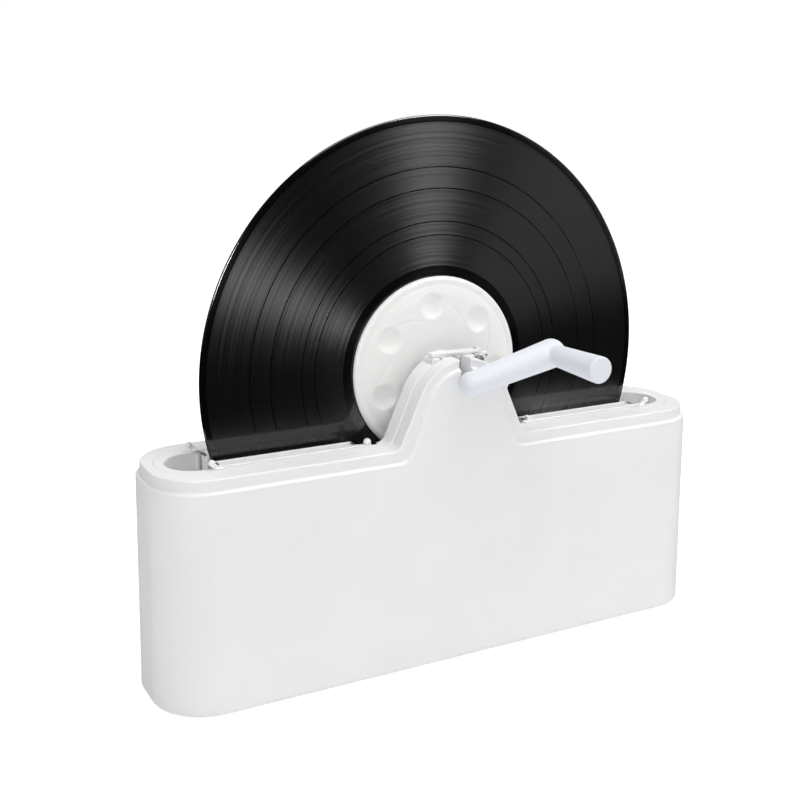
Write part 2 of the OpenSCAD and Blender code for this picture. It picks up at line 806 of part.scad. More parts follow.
// The left holders end in a ball knob at the middle, the right ones in a square block
module brush_holder(block) {
    translate([brush_in, 0, 0]) rotate([90, 0, 90]) linear_extrude(brush_out - brush_in) cover_section();
    translate([brush_in, holder_y, holder_z0])
        cube([brush_out - brush_in, holder_wall, cover_z0 + 0.5 - holder_z0]);
    for (x = [brush_in, brush_out - end_t])
        translate([x, plate_in, gallery_z + 8])
            cube([end_t, plate_out - plate_in, cover_z1 - gallery_z - 8]);
    lug(brush_out - end_t, brush_out + 4.3, peg_y + 2.4);
    peg();
    if (block) {
        translate([brush_in - 0.4, holder_y - 0.2, cover_z0])
            cube([end_t + 0.4, slot_w/2 + 0.7 - holder_y + 0.2 - 1.2, block_top - cover_z0]);
        lug(brush_in - 5, brush_in + end_t, knob_y + 2);
    } else {
        lug(brush_in - 7.5, brush_in + end_t, knob_y + 2);
        translate([brush_in - 4.5, knob_y, lug_z0]) cylinder(r = peg_r, h = knob_z - lug_z0);
        translate([brush_in - 4.5, knob_y, knob_z]) sphere(knob_r, $fn = 32);
    }
}

// Bristles in straight rows, fused to a slice of their backing
module bristles() {
    x0 = brush_in + end_t + 0.3;
    x1 = brush_out - end_t - 0.3;
    translate([x0, hair_back - slice_t, hair_z0]) cube([x1 - x0, slice_t, brush_h]);
    along_y(hair_tip, hair_back - slice_t + 0.4)
        for (row = [0:bristle_rows - 1], col = [0:bristle_cols - 1])
            translate([x0 + (col + 0.5)*(x1 - x0)/bristle_cols, hair_z0 + (row + 0.5)*brush_h/bristle_rows])
                circle(hair_r, $fn = 3);
}

module brush_holder_front_left() { color(white) mirror([1, 0, 0]) mirror([0, 1, 0]) brush_holder(false); }
module brush_holder_front_right() { color(white) mirror([0, 1, 0]) brush_holder(true); }
module brush_holder_rear_left() { color(white) mirror([1, 0, 0]) brush_holder(false); }
module brush_holder_rear_right() { color(white) brush_holder(true); }
module bristles_front_left() { color(hair) mirror([1, 0, 0]) mirror([0, 1, 0]) bristles(); }
module bristles_front_right() { color(hair) mirror([0, 1, 0]) bristles(); }
module bristles_rear_left() { color(hair) mirror([1, 0, 0]) bristles(); }
module bristles_rear_right() { color(hair) bristles(); }

outer_casing();
tank();
base_plate();
rubber_feet();
base_screws();
tank_screws();
front_bearing_block();
rear_bearing_block();
front_bush();
rear_bush();
front_latch();
rear_latch();
latch_pins();
axle();
axle_clip();
front_clamp();
front_seal();
record();
rear_seal();
rear_clamp();
clamp_nut();
crank_arm();
crank_grip();
grip_cap();
brush_holder_front_left();
brush_holder_front_right();
brush_holder_rear_left();
brush_holder_rear_right();
bristles_front_left();
bristles_front_right();
bristles_rear_left();
bristles_rear_right();
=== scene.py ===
# %% [markdown]
# A hand-cranked record washer. A record stands on edge in a narrow white bath and is turned by a
# crank between four soft brushes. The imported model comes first. It is the fixed frame: every piece
# made here rides on one of its bodies, and every place is taken from the boxes of its nodes.

# %% Load the frame
import math

import bmesh
import bpy
import numpy as np
from mathutils import Matrix, Vector


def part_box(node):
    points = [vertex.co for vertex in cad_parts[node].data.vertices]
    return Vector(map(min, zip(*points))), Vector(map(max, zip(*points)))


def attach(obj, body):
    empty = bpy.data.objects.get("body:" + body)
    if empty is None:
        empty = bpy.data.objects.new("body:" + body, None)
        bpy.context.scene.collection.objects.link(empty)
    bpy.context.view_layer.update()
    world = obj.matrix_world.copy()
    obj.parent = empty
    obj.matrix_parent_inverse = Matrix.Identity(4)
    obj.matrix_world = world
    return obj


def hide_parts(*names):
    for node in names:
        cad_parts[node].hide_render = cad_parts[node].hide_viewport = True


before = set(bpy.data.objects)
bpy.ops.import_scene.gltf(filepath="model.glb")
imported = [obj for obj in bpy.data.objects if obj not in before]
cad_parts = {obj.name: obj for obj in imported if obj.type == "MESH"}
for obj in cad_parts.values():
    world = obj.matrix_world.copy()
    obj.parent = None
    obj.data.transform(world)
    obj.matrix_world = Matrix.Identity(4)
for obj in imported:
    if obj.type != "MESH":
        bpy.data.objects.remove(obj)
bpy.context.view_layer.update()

# %% [markdown]
# All sizes below are millimetres, as on a maker's drawing, and they are turned into metres when a
# mesh is made. The frame's boxes give the driving ones: where the axle is, how large the record is,
# and how far the casing reaches.

# %% Sizes that the frame gives
MM = 0.001


def box_mm(node):
    """The lowest and the highest corner of a node, in millimetres."""
    low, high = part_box(node)
    return np.array(low) / MM, np.array(high) / MM


record_lo, record_hi = box_mm("record")
casing_lo, casing_hi = box_mm("outer_casing")
AXLE_Z = (record_lo[2] + record_hi[2]) / 2
RECORD_R = (record_hi[0] - record_lo[0]) / 2
DECK_DROP, SHOULDER_DROP, DOME_RISE = 38.6, 7.2, 18.9
DECK_Z = AXLE_Z - DECK_DROP
SHOULDER_Z = DECK_Z - SHOULDER_DROP
DOME_Z = DECK_Z + DOME_RISE
print(f"axle {AXLE_Z:.1f}, record radius {RECORD_R:.1f}, deck {DECK_Z:.1f}")

# %% [markdown]
# Every new piece is a grid of points. Two numbers run over it, one along a path or round an axis
# and one across the section, and the faces join each point to its neighbours. The helper closes the
# grid where it runs round, merges the points that meet in a pole, and lets the faces look outwards.

# %% From a grid of points to a piece
SHARP = 34
MERGE = 0.004 * MM


def add_object(name, data):
    """A new object at the origin, linked to the scene."""
    thing = bpy.data.objects.new(name, data)
    bpy.context.scene.collection.objects.link(thing)
    return thing


def finish_mesh(name, mesh, sharp=SHARP):
    """Merges points that meet, turns the faces outwards, shades smooth and links the piece."""
    work = bmesh.new()
    work.from_mesh(mesh)
    bmesh.ops.remove_doubles(work, verts=work.verts, dist=MERGE)
    bmesh.ops.dissolve_degenerate(work, edges=work.edges, dist=MERGE)
    bmesh.ops.recalc_face_normals(work, faces=work.faces)
    work.to_mesh(mesh)
    work.free()
    mesh.polygons.foreach_set("use_smooth", np.ones(len(mesh.polygons), bool))
    mesh.set_sharp_from_angle(angle=math.radians(sharp))
    mesh.update()
    return add_object(name, mesh)


def grid_faces(rows, cols, wrap_rows, wrap_cols):
    """Faces of a grid: corner (i, j) with (i + 1, j), (i + 1, j + 1) and (i, j + 1)."""
    down, across = np.arange(rows - (not wrap_rows)), np.arange(cols - (not wrap_cols))
    i, j = (index.ravel() for index in np.meshgrid(down, across, indexing="ij"))
    below, beside = (i + 1) % rows, (j + 1) % cols
    return np.stack([i * cols + j, below * cols + j, below * cols + beside, i * cols + beside], 1)


def surface(name, grid, wrap_rows=False, wrap_cols=False, cap_rows=False, sharp=SHARP):
    """A piece from points grid[row, column] in millimetres. cap_rows closes the first and last row."""
    rows, cols, _ = grid.shape
    faces = grid_faces(rows, cols, wrap_rows, wrap_cols).tolist()
    if cap_rows:
        faces.append(list(range(cols)))
        faces.append(list(range((rows - 1) * cols, rows * cols)))
    mesh = bpy.data.meshes.new(name)
    mesh.from_pydata((grid.reshape(-1, 3) * MM).tolist(), [], faces)
    return finish_mesh(name, mesh, sharp)


def arc(start, end, steps):
    """Angles in radians from start to end, given in degrees."""
    return np.radians(np.linspace(start, end, steps + 1))


def circle_arc(x, z, r, start, end, steps):
    """Points of an arc of radius r round (x, z): x + r cos a and z + r sin a, a in degrees."""
    a = arc(start, end, steps)
    return np.stack([x + r * np.cos(a), z + r * np.sin(a)], 1)


def fillet(profile, radii, steps=4):
    """Rounds the corners of an open profile of points (a, b). At a corner with unit legs u and v and
    turn angle t the arc has its ends r * tan(t / 2) away, and its middle part follows a circle."""
    points = [np.asarray(profile[0], float)]
    for before, corner, after, r in zip(profile[:-2], profile[1:-1], profile[2:], radii):
        before, corner, after = (np.asarray(p, float) for p in (before, corner, after))
        u, v = before - corner, after - corner
        lu, lv = np.linalg.norm(u), np.linalg.norm(v)
        u, v = u / lu, v / lv
        half = math.acos(float(np.clip(u @ v, -1, 1))) / 2
        if r <= 0 or half > math.radians(89) or half < math.radians(1):
            points.append(corner)
            continue
        reach = min(r / math.tan(half), 0.48 * lu, 0.48 * lv)
        r = reach * math.tan(half)
        middle = corner + (u + v) / np.linalg.norm(u + v) * r / math.sin(half)
        a, b = corner + u * reach - middle, corner + v * reach - middle
        sweep = math.pi - 2 * half
        for t in np.linspace(0, 1, steps + 1):
            ends = a * math.sin((1 - t) * sweep) + b * math.sin(t * sweep)
            points.append(middle + ends / math.sin(sweep))
    points.append(np.asarray(profile[-1], float))
    return np.array(points)


def turned(name, profile, turns):
    """A profile of points (radius, y) carried once round the axle: x = r cos a, z = axle + r sin a."""
    a = np.arange(turns) * 2 * math.pi / turns
    r, y = profile[:, 0][:, None], profile[:, 1][:, None]
    grid = np.stack([r * np.cos(a), y + 0 * a, AXLE_Z + r * np.sin(a)], 2)
    return surface(name, grid, wrap_cols=True)


def outline_normals(outline):
    """Outward unit normals of a closed counter-clockwise outline, each the mean of its two edges,
    lengthened so that a shift along it moves both edges by the same distance."""
    edge = np.roll(outline, -1, 0) - outline
    edge = edge / np.linalg.norm(edge, axis=1)[:, None]
    side = np.stack([edge[:, 1], -edge[:, 0]], 1)
    mean = side + np.roll(side, 1, 0)
    mean = mean / np.linalg.norm(mean, axis=1)[:, None]
    stretch = 1 / np.clip((mean * side).sum(1), 0.5, 1)
    return mean * stretch[:, None]


def counter_clockwise(outline):
    """The outline, turned round if the area it encloses comes out negative."""
    outline = np.asarray(outline, float)
    x, z = outline.T
    area = (x * np.roll(z, -1) - z * np.roll(x, -1)).sum()
    return outline[::-1] if area < 0 else outline


def plate(name, outline, y0, y1, edge=0.3, steps=3):
    """A plate with rounded edges. Its outline of points (x, z) is carried from depth y0 to y1, drawn
    in by edge * (1 - sin p) as the depth gains edge * (1 - cos p), with p from 0 to 90 degrees."""
    outline = counter_clockwise(outline)
    normal = outline_normals(outline)
    p = arc(0, 90, steps)
    inward = np.concatenate([edge * (1 - np.sin(p)), edge * (1 - np.sin(p[::-1]))])
    depth = np.concatenate([y0 + edge * (1 - np.cos(p)), y1 - edge * (1 - np.cos(p[::-1]))])
    flat = outline[None] - inward[:, None, None] * normal[None]
    deep = np.broadcast_to(depth[:, None], flat.shape[:2])
    grid = np.stack([flat[:, :, 0], deep, flat[:, :, 1]], 2)
    return surface(name, grid, wrap_cols=True, cap_rows=True)


def join(name, pieces, sharp=SHARP):
    """Several closed shells of one moulding, as one mesh."""
    work = bmesh.new()
    for piece in pieces:
        work.from_mesh(piece.data)
        bpy.data.objects.remove(piece)
    mesh = bpy.data.meshes.new(name)
    work.to_mesh(mesh)
    work.free()
    mesh.set_sharp_from_angle(angle=math.radians(sharp))
    return add_object(name, mesh)


def cut(piece, cutters):
    """Takes closed cutters away from a closed piece, and keeps the result as its mesh."""
    for cutter in cutters:
        step = piece.modifiers.new("cut", "BOOLEAN")
        step.operation = "DIFFERENCE"
        step.solver = "EXACT"
        step.object = cutter
    bpy.context.view_layer.update()
    finished = piece.evaluated_get(bpy.context.evaluated_depsgraph_get())
    mesh = bpy.data.meshes.new_from_object(finished)
    piece.modifiers.clear()
    piece.data = mesh
    for cutter in cutters:
        bpy.data.objects.remove(cutter)
    mesh.set_sharp_from_angle(angle=math.radians(SHARP))
    return piece


def dress(piece, body, slot, material, *nodes):
    """Puts a finish on a piece, lets it ride on a body and stand for CAD nodes."""
    piece.data.materials.clear()
    piece.data.materials.append(material)
    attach(piece, body)
    if nodes:
        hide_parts(*nodes)
    print(f"{piece.name}: {len(piece.data.polygons)} faces on {body}")
    return piece


def mirrored(grid, x=False, y=False):
    """The grid seen in a mirror across the middle of the casing."""
    return grid * np.array([-1 if x else 1, -1 if y else 1, 1])

# %% [markdown]
# The camera stands where the photographer's stood. Its place was worked out from the outline of the
# record, which is a circle of known size, and from the long edges of the casing. Shift and depth of
# field stay off, so other views can be taken from any side.

# %% Camera
CAMERA_AT = (-0.3572, -0.6212, 0.3456)
CAMERA_YAW = math.radians(28.24)
CAMERA_PITCH = math.radians(14.86)
CAMERA_ROLL = math.radians(0.34)
IMAGE_SIDE = 800
FOCAL_PIXELS = 1193.3
SENSOR = 36
CLIP_START = 0.01


def photo_camera():
    """A camera that looks along (sin yaw cos pitch, cos yaw cos pitch, -sin pitch), then rolls."""
    forward = Vector((math.sin(CAMERA_YAW) * math.cos(CAMERA_PITCH),
                      math.cos(CAMERA_YAW) * math.cos(CAMERA_PITCH), -math.sin(CAMERA_PITCH)))
    side = Vector((math.cos(CAMERA_YAW), -math.sin(CAMERA_YAW), 0))
    up = side.cross(forward)
    right = side * math.cos(CAMERA_ROLL) + up * math.sin(CAMERA_ROLL)
    above = up * math.cos(CAMERA_ROLL) - side * math.sin(CAMERA_ROLL)
    data = bpy.data.cameras.new("photo_camera")
    data.sensor_width = SENSOR
    data.lens = FOCAL_PIXELS / IMAGE_SIDE * SENSOR
    data.clip_start = CLIP_START
    camera = add_object("photo_camera", data)
    turn = Matrix((right, above, -forward)).transposed().to_4x4()
    camera.matrix_world = Matrix.Translation(CAMERA_AT) @ turn
    return camera


bpy.context.scene.camera = photo_camera()
print(f"lens {FOCAL_PIXELS / IMAGE_SIDE * SENSOR:.1f} mm")

# %% [markdown]
# The photograph is bright and almost without shadow. A white world lights everything evenly, and
# large soft panels give the shapes their shading. Three more panels light only what shines. The fine
# grooves of the record throw two of them back as bright wedges, at the left and at the top, and the
# third, a weak one, lifts the right side. Glossy rays see a nearly dark world, so the record is black
# between its wedges.

# %% Light
WORLD_SEEN = 1.0
WORLD_FILL = 0.62
WORLD_GLOSS = 0.01


def studio_world():
    """White to the camera, softer as fill light, and nearly dark in reflections."""
    world = bpy.data.worlds.new("studio")
    bpy.context.scene.world = world
    world.use_nodes = True
    tree = world.node_tree
    background = tree.nodes["Background"]
    path = tree.nodes.new("ShaderNodeLightPath")
    gloss = tree.nodes.new("ShaderNodeMix")
    gloss.inputs["A"].default_value = WORLD_FILL
    gloss.inputs["B"].default_value = WORLD_GLOSS
    seen = tree.nodes.new("ShaderNodeMix")
    seen.inputs["B"].default_value = WORLD_SEEN
    tree.links.new(path.outputs["Is Glossy Ray"], gloss.inputs["Factor"])
    tree.links.new(path.outputs["Is Camera Ray"], seen.inputs["Factor"])
    tree.links.new(gloss.outputs["Result"], seen.inputs["A"])
    tree.links.new(seen.outputs["Result"], background.inputs["Strength"])
    background.inputs["Color"].default_value = (1, 1, 1, 1)


def panel(name, place, target, size, power):
    """A rectangular soft light that faces a point."""
    data = bpy.data.lights.new(name, "AREA")
    data.shape = "RECTANGLE"
    data.size, data.size_y = size
    data.energy = power
    light = add_object(name, data)
    light.location = place
    light.rotation_euler = (Vector(target) - Vector(place)).to_track_quat("-Z", "Y").to_euler()
    return light


studio_world()
bpy.context.scene.view_settings.view_transform = "Standard"
CASING_MIDDLE, RECORD_MIDDLE = (0, 0, 0.15), (0, 0, 0.2)
PANELS = (("left_panel", (-1.5, -0.9, 0.6), (0.8, 0.8), 0.6),
          ("top_panel", (0.25, -0.2, 1.7), (1.5, 0.9), 15),
          ("front_panel", (0.5, -2.2, 0.9), (1.6, 1.2), 0.4),
          ("right_panel", (1.5, -1.1, 0.9), (1.0, 1.0), 2.5),
          ("back_panel", (0.2, 1.9, 1.1), (1.8, 1.0), 2))
SHEENS = (("left_sheen", (-1.15, -1.25, 0.78), (0.5, 0.46), 66),
          ("top_sheen", (0.68, -0.75, 1.38), (0.55, 0.5), 41),
          ("right_sheen", (1.34, -0.72, 0.56), (0.4, 1.0), 7))
for name, place, size, power in PANELS:
    panel(name, place, CASING_MIDDLE, size, power)
for name, place, size, power in SHEENS:
    panel(name, place, RECORD_MIDDLE, size, power).visible_diffuse = False
print(len(PANELS), "soft panels and", len(SHEENS), "that light only what shines")

# %% [markdown]
# Finishes come next. Each reads Object coordinates, so the grain has its real size on every piece.
# Each helper adds one kind of node, so that a finish reads like a short recipe later on. A number
# that is the same all over a piece is set on the shader itself and needs no node.

# %% Helpers for finishes
def new_material(name, roughness, base):
    """An empty Principled material with its uniform numbers set on the shader's own sockets."""
    material = bpy.data.materials.new(name)
    material.use_nodes = True
    shader = material.node_tree.nodes["Principled BSDF"]
    shader.inputs["Roughness"].default_value = roughness
    shader.inputs["Base Color"].default_value = (*base, 1)
    return material, material.node_tree, shader


def noise(tree, scale, detail=2.0, stretch=(1, 1, 1)):
    """A noise pattern on Object coordinates in metres. scale is the count of features in a metre."""
    where = tree.nodes.new("ShaderNodeTexCoord")
    place = tree.nodes.new("ShaderNodeMapping")
    place.inputs["Scale"].default_value = stretch
    pattern = tree.nodes.new("ShaderNodeTexNoise")
    pattern.inputs["Scale"].default_value = scale
    pattern.inputs["Detail"].default_value = detail
    tree.links.new(where.outputs["Object"], place.inputs["Vector"])
    tree.links.new(place.outputs["Vector"], pattern.inputs["Vector"])
    return pattern.outputs["Fac"]


def spread(tree, value, low, high, lo_in=0.3, hi_in=0.7):
    """Maps a pattern from lo_in..hi_in to low..high."""
    node = tree.nodes.new("ShaderNodeMapRange")
    node.inputs["From Min"].default_value = lo_in
    node.inputs["From Max"].default_value = hi_in
    node.inputs["To Min"].default_value = low
    node.inputs["To Max"].default_value = high
    tree.links.new(value, node.inputs["Value"])
    return node.outputs["Result"]


def two_tones(tree, value, dark, light):
    """A colour between two tones, by a pattern."""
    mix = tree.nodes.new("ShaderNodeMix")
    mix.data_type = "RGBA"
    mix.inputs["A"].default_value = (*dark, 1)
    mix.inputs["B"].default_value = (*light, 1)
    tree.links.new(value, mix.inputs["Factor"])
    return mix.outputs["Result"]


def relief(tree, value, strength, height, under=None):
    """A bump of that real height in metres, on top of another one."""
    node = tree.nodes.new("ShaderNodeBump")
    node.inputs["Strength"].default_value = strength
    node.inputs["Distance"].default_value = height
    tree.links.new(value, node.inputs["Height"])
    if under is not None:
        tree.links.new(under, node.inputs["Normal"])
    return node.outputs["Normal"]


def calculate(tree, operation, a, b=None):
    """One Math node. A number or a socket may stand on either side."""
    node = tree.nodes.new("ShaderNodeMath")
    node.operation = operation
    for socket, value in zip(node.inputs, (a, b)):
        if isinstance(value, (int, float)):
            socket.default_value = value
        elif value is not None:
            tree.links.new(value, socket)
    return node.outputs["Value"]


# %% [markdown]
# The floor is a plain pale sheet that runs far behind the object. It glows a little, as paper lit
# from all round does, so that it meets the background without a line and keeps only the soft
# contact shadow. The glow that the object gets from it is weaker.

# %% Floor
FLOOR_SIDE = 30.0
FLOOR_SEEN = 0.46
FLOOR_BOUNCE = 0.1
FLOOR_TONE = (0.93, 0.93, 0.93, 1)


def pale_floor():
    """A flat square at height zero."""
    mesh = bpy.data.meshes.new("floor")
    h = FLOOR_SIDE / 2
    mesh.from_pydata([(-h, -h, 0), (h, -h, 0), (h, h, 0), (-h, h, 0)], [], [(0, 1, 2, 3)])
    floor = add_object("floor", mesh)
    material = bpy.data.materials.new("floor_paper")
    material.use_nodes = True
    shader = material.node_tree.nodes["Principled BSDF"]
    shader.inputs["Base Color"].default_value = FLOOR_TONE
    shader.inputs["Roughness"].default_value = 0.9
    shader.inputs["Specular IOR Level"].default_value = 0.1
    shader.inputs["Emission Color"].default_value = (1, 1, 1, 1)
    tree = material.node_tree
    path = tree.nodes.new("ShaderNodeLightPath")
    glow = spread(tree, path.outputs["Is Camera Ray"], FLOOR_BOUNCE, FLOOR_SEEN, 0, 1)
    tree.links.new(glow, shader.inputs["Emission Strength"])
    mesh.materials.append(material)
    floor.visible_glossy = False
    return floor


pale_floor()

# %% [markdown]
# Nearly all of the machine is moulded plastic, and a flat white would look like a drawing. It has
# three layers of detail: a spark-eroded grain finer than a millimetre, a slow waviness where the wall
# shrank in the mould, and patches that are a little glossier or darker than the rest.

# %% Moulded plastic
def moulded_plastic(name, tone, roughness, grain, grain_height, shine=0.5):
    """Plastic with a fine grain, slow sink marks and patches of different gloss."""
    material, tree, shader = new_material(name, roughness, tone)
    tone = np.array(tone)
    patches = noise(tree, 26, 3)
    dark, light = tuple(tone * 0.985), tuple(np.minimum(tone * 1.01, 1))
    colour = two_tones(tree, spread(tree, patches, 0, 1), dark, light)
    tree.links.new(colour, shader.inputs["Base Color"])
    gloss = spread(tree, noise(tree, 60, 4), roughness * 0.88, roughness * 1.14)
    tree.links.new(gloss, shader.inputs["Roughness"])
    slow = relief(tree, noise(tree, 9, 1), 0.25, 0.0009)
    fine = relief(tree, noise(tree, grain, 2), 0.35, grain_height, slow)
    tree.links.new(fine, shader.inputs["Normal"])
    shader.inputs["IOR"].default_value = 1.5
    shader.inputs["Specular IOR Level"].default_value = shine
    return material


CASING_WHITE = moulded_plastic("casing_white", (0.85, 0.85, 0.855), 0.46, 2600, 0.00003, 0.35)
TANK_WHITE = moulded_plastic("tank_white", (0.86, 0.86, 0.865), 0.42, 2200, 0.00002, 0.4)
CLAMP_WHITE = moulded_plastic("clamp_white", (0.88, 0.87, 0.86), 0.56, 3000, 0.00002, 0.3)
CRANK_WHITE = moulded_plastic("crank_white", (0.775, 0.80, 0.85), 0.6, 2400, 0.00004, 0.25)

# %% [markdown]
# The outer casing is one moulding: a long box with round ends, a shoulder all round, a raised rim on
# it, and the outer half of both pillars that grow out of the deck in a sweep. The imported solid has
# its corners in flat strips, so the casing is made again as one smooth surface. A path runs once
# round the casing, and at each station of the path a section goes from the foot up the wall, over
# the shoulder, up the rim, across the deck and back down inside. Where a pillar stands, the shoulder
# line and the rim line simply climb over it.

# %% Outlines of the casing
CASING_L = casing_hi[0] - casing_lo[0]
CASING_W = casing_hi[1] - casing_lo[1]
FOOT_Z = casing_lo[2]
DRAFT = 2.5
LEDGE = 2.5
WALL = 2.6
FOOT_CORNER = 33
FACE_Y = CASING_W / 2 - 2.4
RIM_Y = FACE_Y - LEDGE
RECESS_L, RECESS_Y, RECESS_CORNER = 356.4, 25.7, 25.2
HOLE_L, HOLE_Y, HOLE_CORNER = 349.2, 19.6, 19.1
PILLAR_R, PILLAR_LEAN = 32, 24
FACE_R, FACE_LEAN = 26.5, 21
SWEEP = 6
DOME_STEPS, FLANK_STEPS, SWEEP_STEPS, DECK_STEPS, CORNER_STEPS, END_STEPS = 18, 5, 9, 12, 22, 3


def bell_half(r, lean, base):
    """Right half of a pillar's outline with its normals: an arc of radius r round the dome's centre
    from straight up to the lean angle, a straight flank, and an arc of radius SWEEP onto the base."""
    lean = math.radians(lean)
    a = np.linspace(math.pi / 2, lean, DOME_STEPS + 1)
    dome = np.stack([r * np.cos(a), DOME_Z + r * np.sin(a)], 1)
    dome_out = np.stack([np.cos(a), np.sin(a)], 1)
    foot_z = base + SWEEP * (1 - math.sin(lean))
    foot_x = dome[-1, 0] + (dome[-1, 1] - foot_z) * math.tan(lean)
    middle = np.array([foot_x + SWEEP * math.cos(lean), base + SWEEP])
    b = np.linspace(math.pi + lean, 1.5 * math.pi, SWEEP_STEPS + 1)
    turn = np.stack([np.cos(b), np.sin(b)], 1)
    t = np.linspace(0, 1, FLANK_STEPS + 1)[1:-1, None]
    flank = dome[-1] * (1 - t) + (middle + SWEEP * turn[0]) * t
    flank_out = np.repeat(dome_out[-1:], len(flank), 0)
    outline = np.concatenate([dome, flank, middle + SWEEP * turn])
    return outline, np.concatenate([dome_out, flank_out, -turn])


def level(x, z):
    """A level outline at height z over the stations x, with normals that point straight up."""
    return np.stack([x, np.full_like(x, z)], 1), np.repeat([[0.0, 1.0]], len(x), 0)


def quarter(half_l, half_w, corner, z, start):
    """One quarter of an outline, from the middle of the front to the middle of the right end. It
    gives the points, the way out of the wall and the way up. It begins with the points and normals
    of start, a pillar's bell or a level stretch, and goes on along the deck and round the corner."""
    end_x, end_y = half_l - corner, half_w - corner
    outline, out = start
    front = np.stack([outline[:, 0], np.full(len(outline), -half_w), outline[:, 1]], 1)
    rise = np.stack([out[:, 0], np.zeros(len(out)), out[:, 1]], 1)
    t = np.linspace(0, 1, DECK_STEPS + 1)[1:, None]
    deck = front[-1] * (1 - t) + np.array([end_x, -half_w, z]) * t
    a = arc(-90, 0, CORNER_STEPS)[1:]
    bend = np.stack([end_x + corner * np.cos(a), -end_y + corner * np.sin(a), np.full_like(a, z)], 1)
    s = np.linspace(0, 1, END_STEPS + 1)[1:, None]
    end = np.array([half_l, -end_y, z]) * (1 - s) + np.array([half_l, 0, z]) * s
    points = np.concatenate([front, deck, bend, end])
    up = np.concatenate([rise, np.tile([0, 0, 1.0], (len(points) - len(rise), 1))])
    along_front = np.tile([0, -1.0, 0], (len(front) + len(deck), 1))
    round_corner = np.stack([np.cos(a), np.sin(a), 0 * a], 1)
    wall = np.concatenate([along_front, round_corner, np.tile([1.0, 0, 0], (END_STEPS, 1))])
    return points, wall, up


face_bell = bell_half(FACE_R, FACE_LEAN, SHOULDER_Z)
pillar_bell = bell_half(PILLAR_R, PILLAR_LEAN, DECK_Z)
level_foot, level_shoulder = level(face_bell[0][:, 0], FOOT_Z), level(face_bell[0][:, 0], SHOULDER_Z)
level_deck = level(pillar_bell[0][:, 0], DECK_Z)
shoulder_l, shoulder_corner = CASING_L / 2 - DRAFT, FOOT_CORNER - DRAFT / 2
face, wall_out, face_up = quarter(shoulder_l, FACE_Y, shoulder_corner, SHOULDER_Z, face_bell)
rim, _, rim_up = quarter(shoulder_l - LEDGE, RIM_Y, shoulder_corner - LEDGE, DECK_Z, pillar_bell)
foot, _, _ = quarter(CASING_L / 2, CASING_W / 2, FOOT_CORNER, FOOT_Z, level_foot)
shoulder, _, _ = quarter(shoulder_l, FACE_Y, shoulder_corner, SHOULDER_Z, level_shoulder)
recess, _, _ = quarter(RECESS_L / 2, RECESS_Y, RECESS_CORNER, DECK_Z, pillar_bell)
land, _, _ = quarter(HOLE_L / 2, HOLE_Y, HOLE_CORNER, DECK_Z, level_deck)
print(f"{len(face)} stations in a quarter of the casing")

# %% [markdown]
# The section is a list of rows. A row is the whole path at one place of the section, so a straight
# wall is a few rows between two others, and a rounded edge is five rows on a quarter circle. The
# mirror images of this quarter then follow each other round the casing, and the axle's slot is cut.

# %% The casing's section
SHOULDER_ROUND, RIM_ROUND, INNER_ROUND, FOOT_ROUND = 1.1, 0.9, 0.7, 0.6
SEAM_ROUND, PILLAR_SEAM_ROUND, SEAM_CHANGE = 0.1, 1.0, 8
RECESS_DEPTH, DECK_T = 2.7, 5.2
UP = np.array([0, 0, 1.0])


def corner_rows(edge, first, second, radius, steps=4):
    """Rows round an outward corner: edge - radius * (first + second) + radius * (first cos p +
    second sin p), with p from 0 to 90 degrees. first and second are the two faces' directions."""
    return [edge - radius * (first + second) + radius * (first * math.cos(p) + second * math.sin(p))
            for p in arc(0, 90, steps)]


def hollow_rows(edge, first, second, radius):
    """Rows round an inward corner, where a face that looks along first meets one along second."""
    return [edge + radius * (first + second) - radius * (first * math.cos(p) + second * math.sin(p))
            for p in arc(0, 90, 4)]


def between(first, last, shares):
    """Straight rows between two rows, at these shares of the way."""
    return [first * (1 - t) + last * t for t in shares]


def at_height(row, z):
    """The same plan at one height."""
    flat = row.copy()
    flat[:, 2] = z
    return flat


rows = corner_rows(foot, -UP, wall_out, FOOT_ROUND)
rows += between(rows[-1], shoulder, (0.01, 0.25, 0.5, 0.75, 0.97))
below_shoulder = shoulder - 3 * SHOULDER_ROUND * UP
rows += between(below_shoulder, face - SHOULDER_ROUND * face_up, (0.0, 0.35, 0.7, 0.96))
rows += corner_rows(face, wall_out, face_up, SHOULDER_ROUND)
step_foot = face - LEDGE * wall_out
rows += hollow_rows(step_foot, face_up, wall_out, INNER_ROUND)
rim_start = rows[-1]
rows += between(rim_start, rim - RIM_ROUND * rim_up, (0.06, 0.5, 0.94))
rows += corner_rows(rim, wall_out, rim_up, RIM_ROUND)
up_the_pillar = np.clip((recess[:, 2:] - DECK_Z) / SEAM_CHANGE, 0, 1)
seam_round = SEAM_ROUND + (PILLAR_SEAM_ROUND - SEAM_ROUND) * up_the_pillar
seam_edge = corner_rows(recess, rim_up, -wall_out, seam_round)
rows += between(rows[-1], seam_edge[0], (0.04, 0.35, 0.65, 0.96))
rows += seam_edge
floor_z = DECK_Z - RECESS_DEPTH
rows += between(rows[-1], at_height(recess, floor_z), (0.1, 1.0))
rows.append(at_height(land, floor_z))
rows.append(at_height(land, DECK_Z - DECK_T))
rows.append(at_height(rim - WALL * wall_out, DECK_Z - DECK_T))
rows.append(at_height(rim - WALL * wall_out, SHOULDER_Z - WALL))
rows.append(at_height(shoulder - WALL * wall_out, SHOULDER_Z - WALL))
rows.append(at_height(foot - WALL * wall_out, FOOT_Z))
section = np.stack(rows)
print(section.shape[0], "rows in the section of the casing")


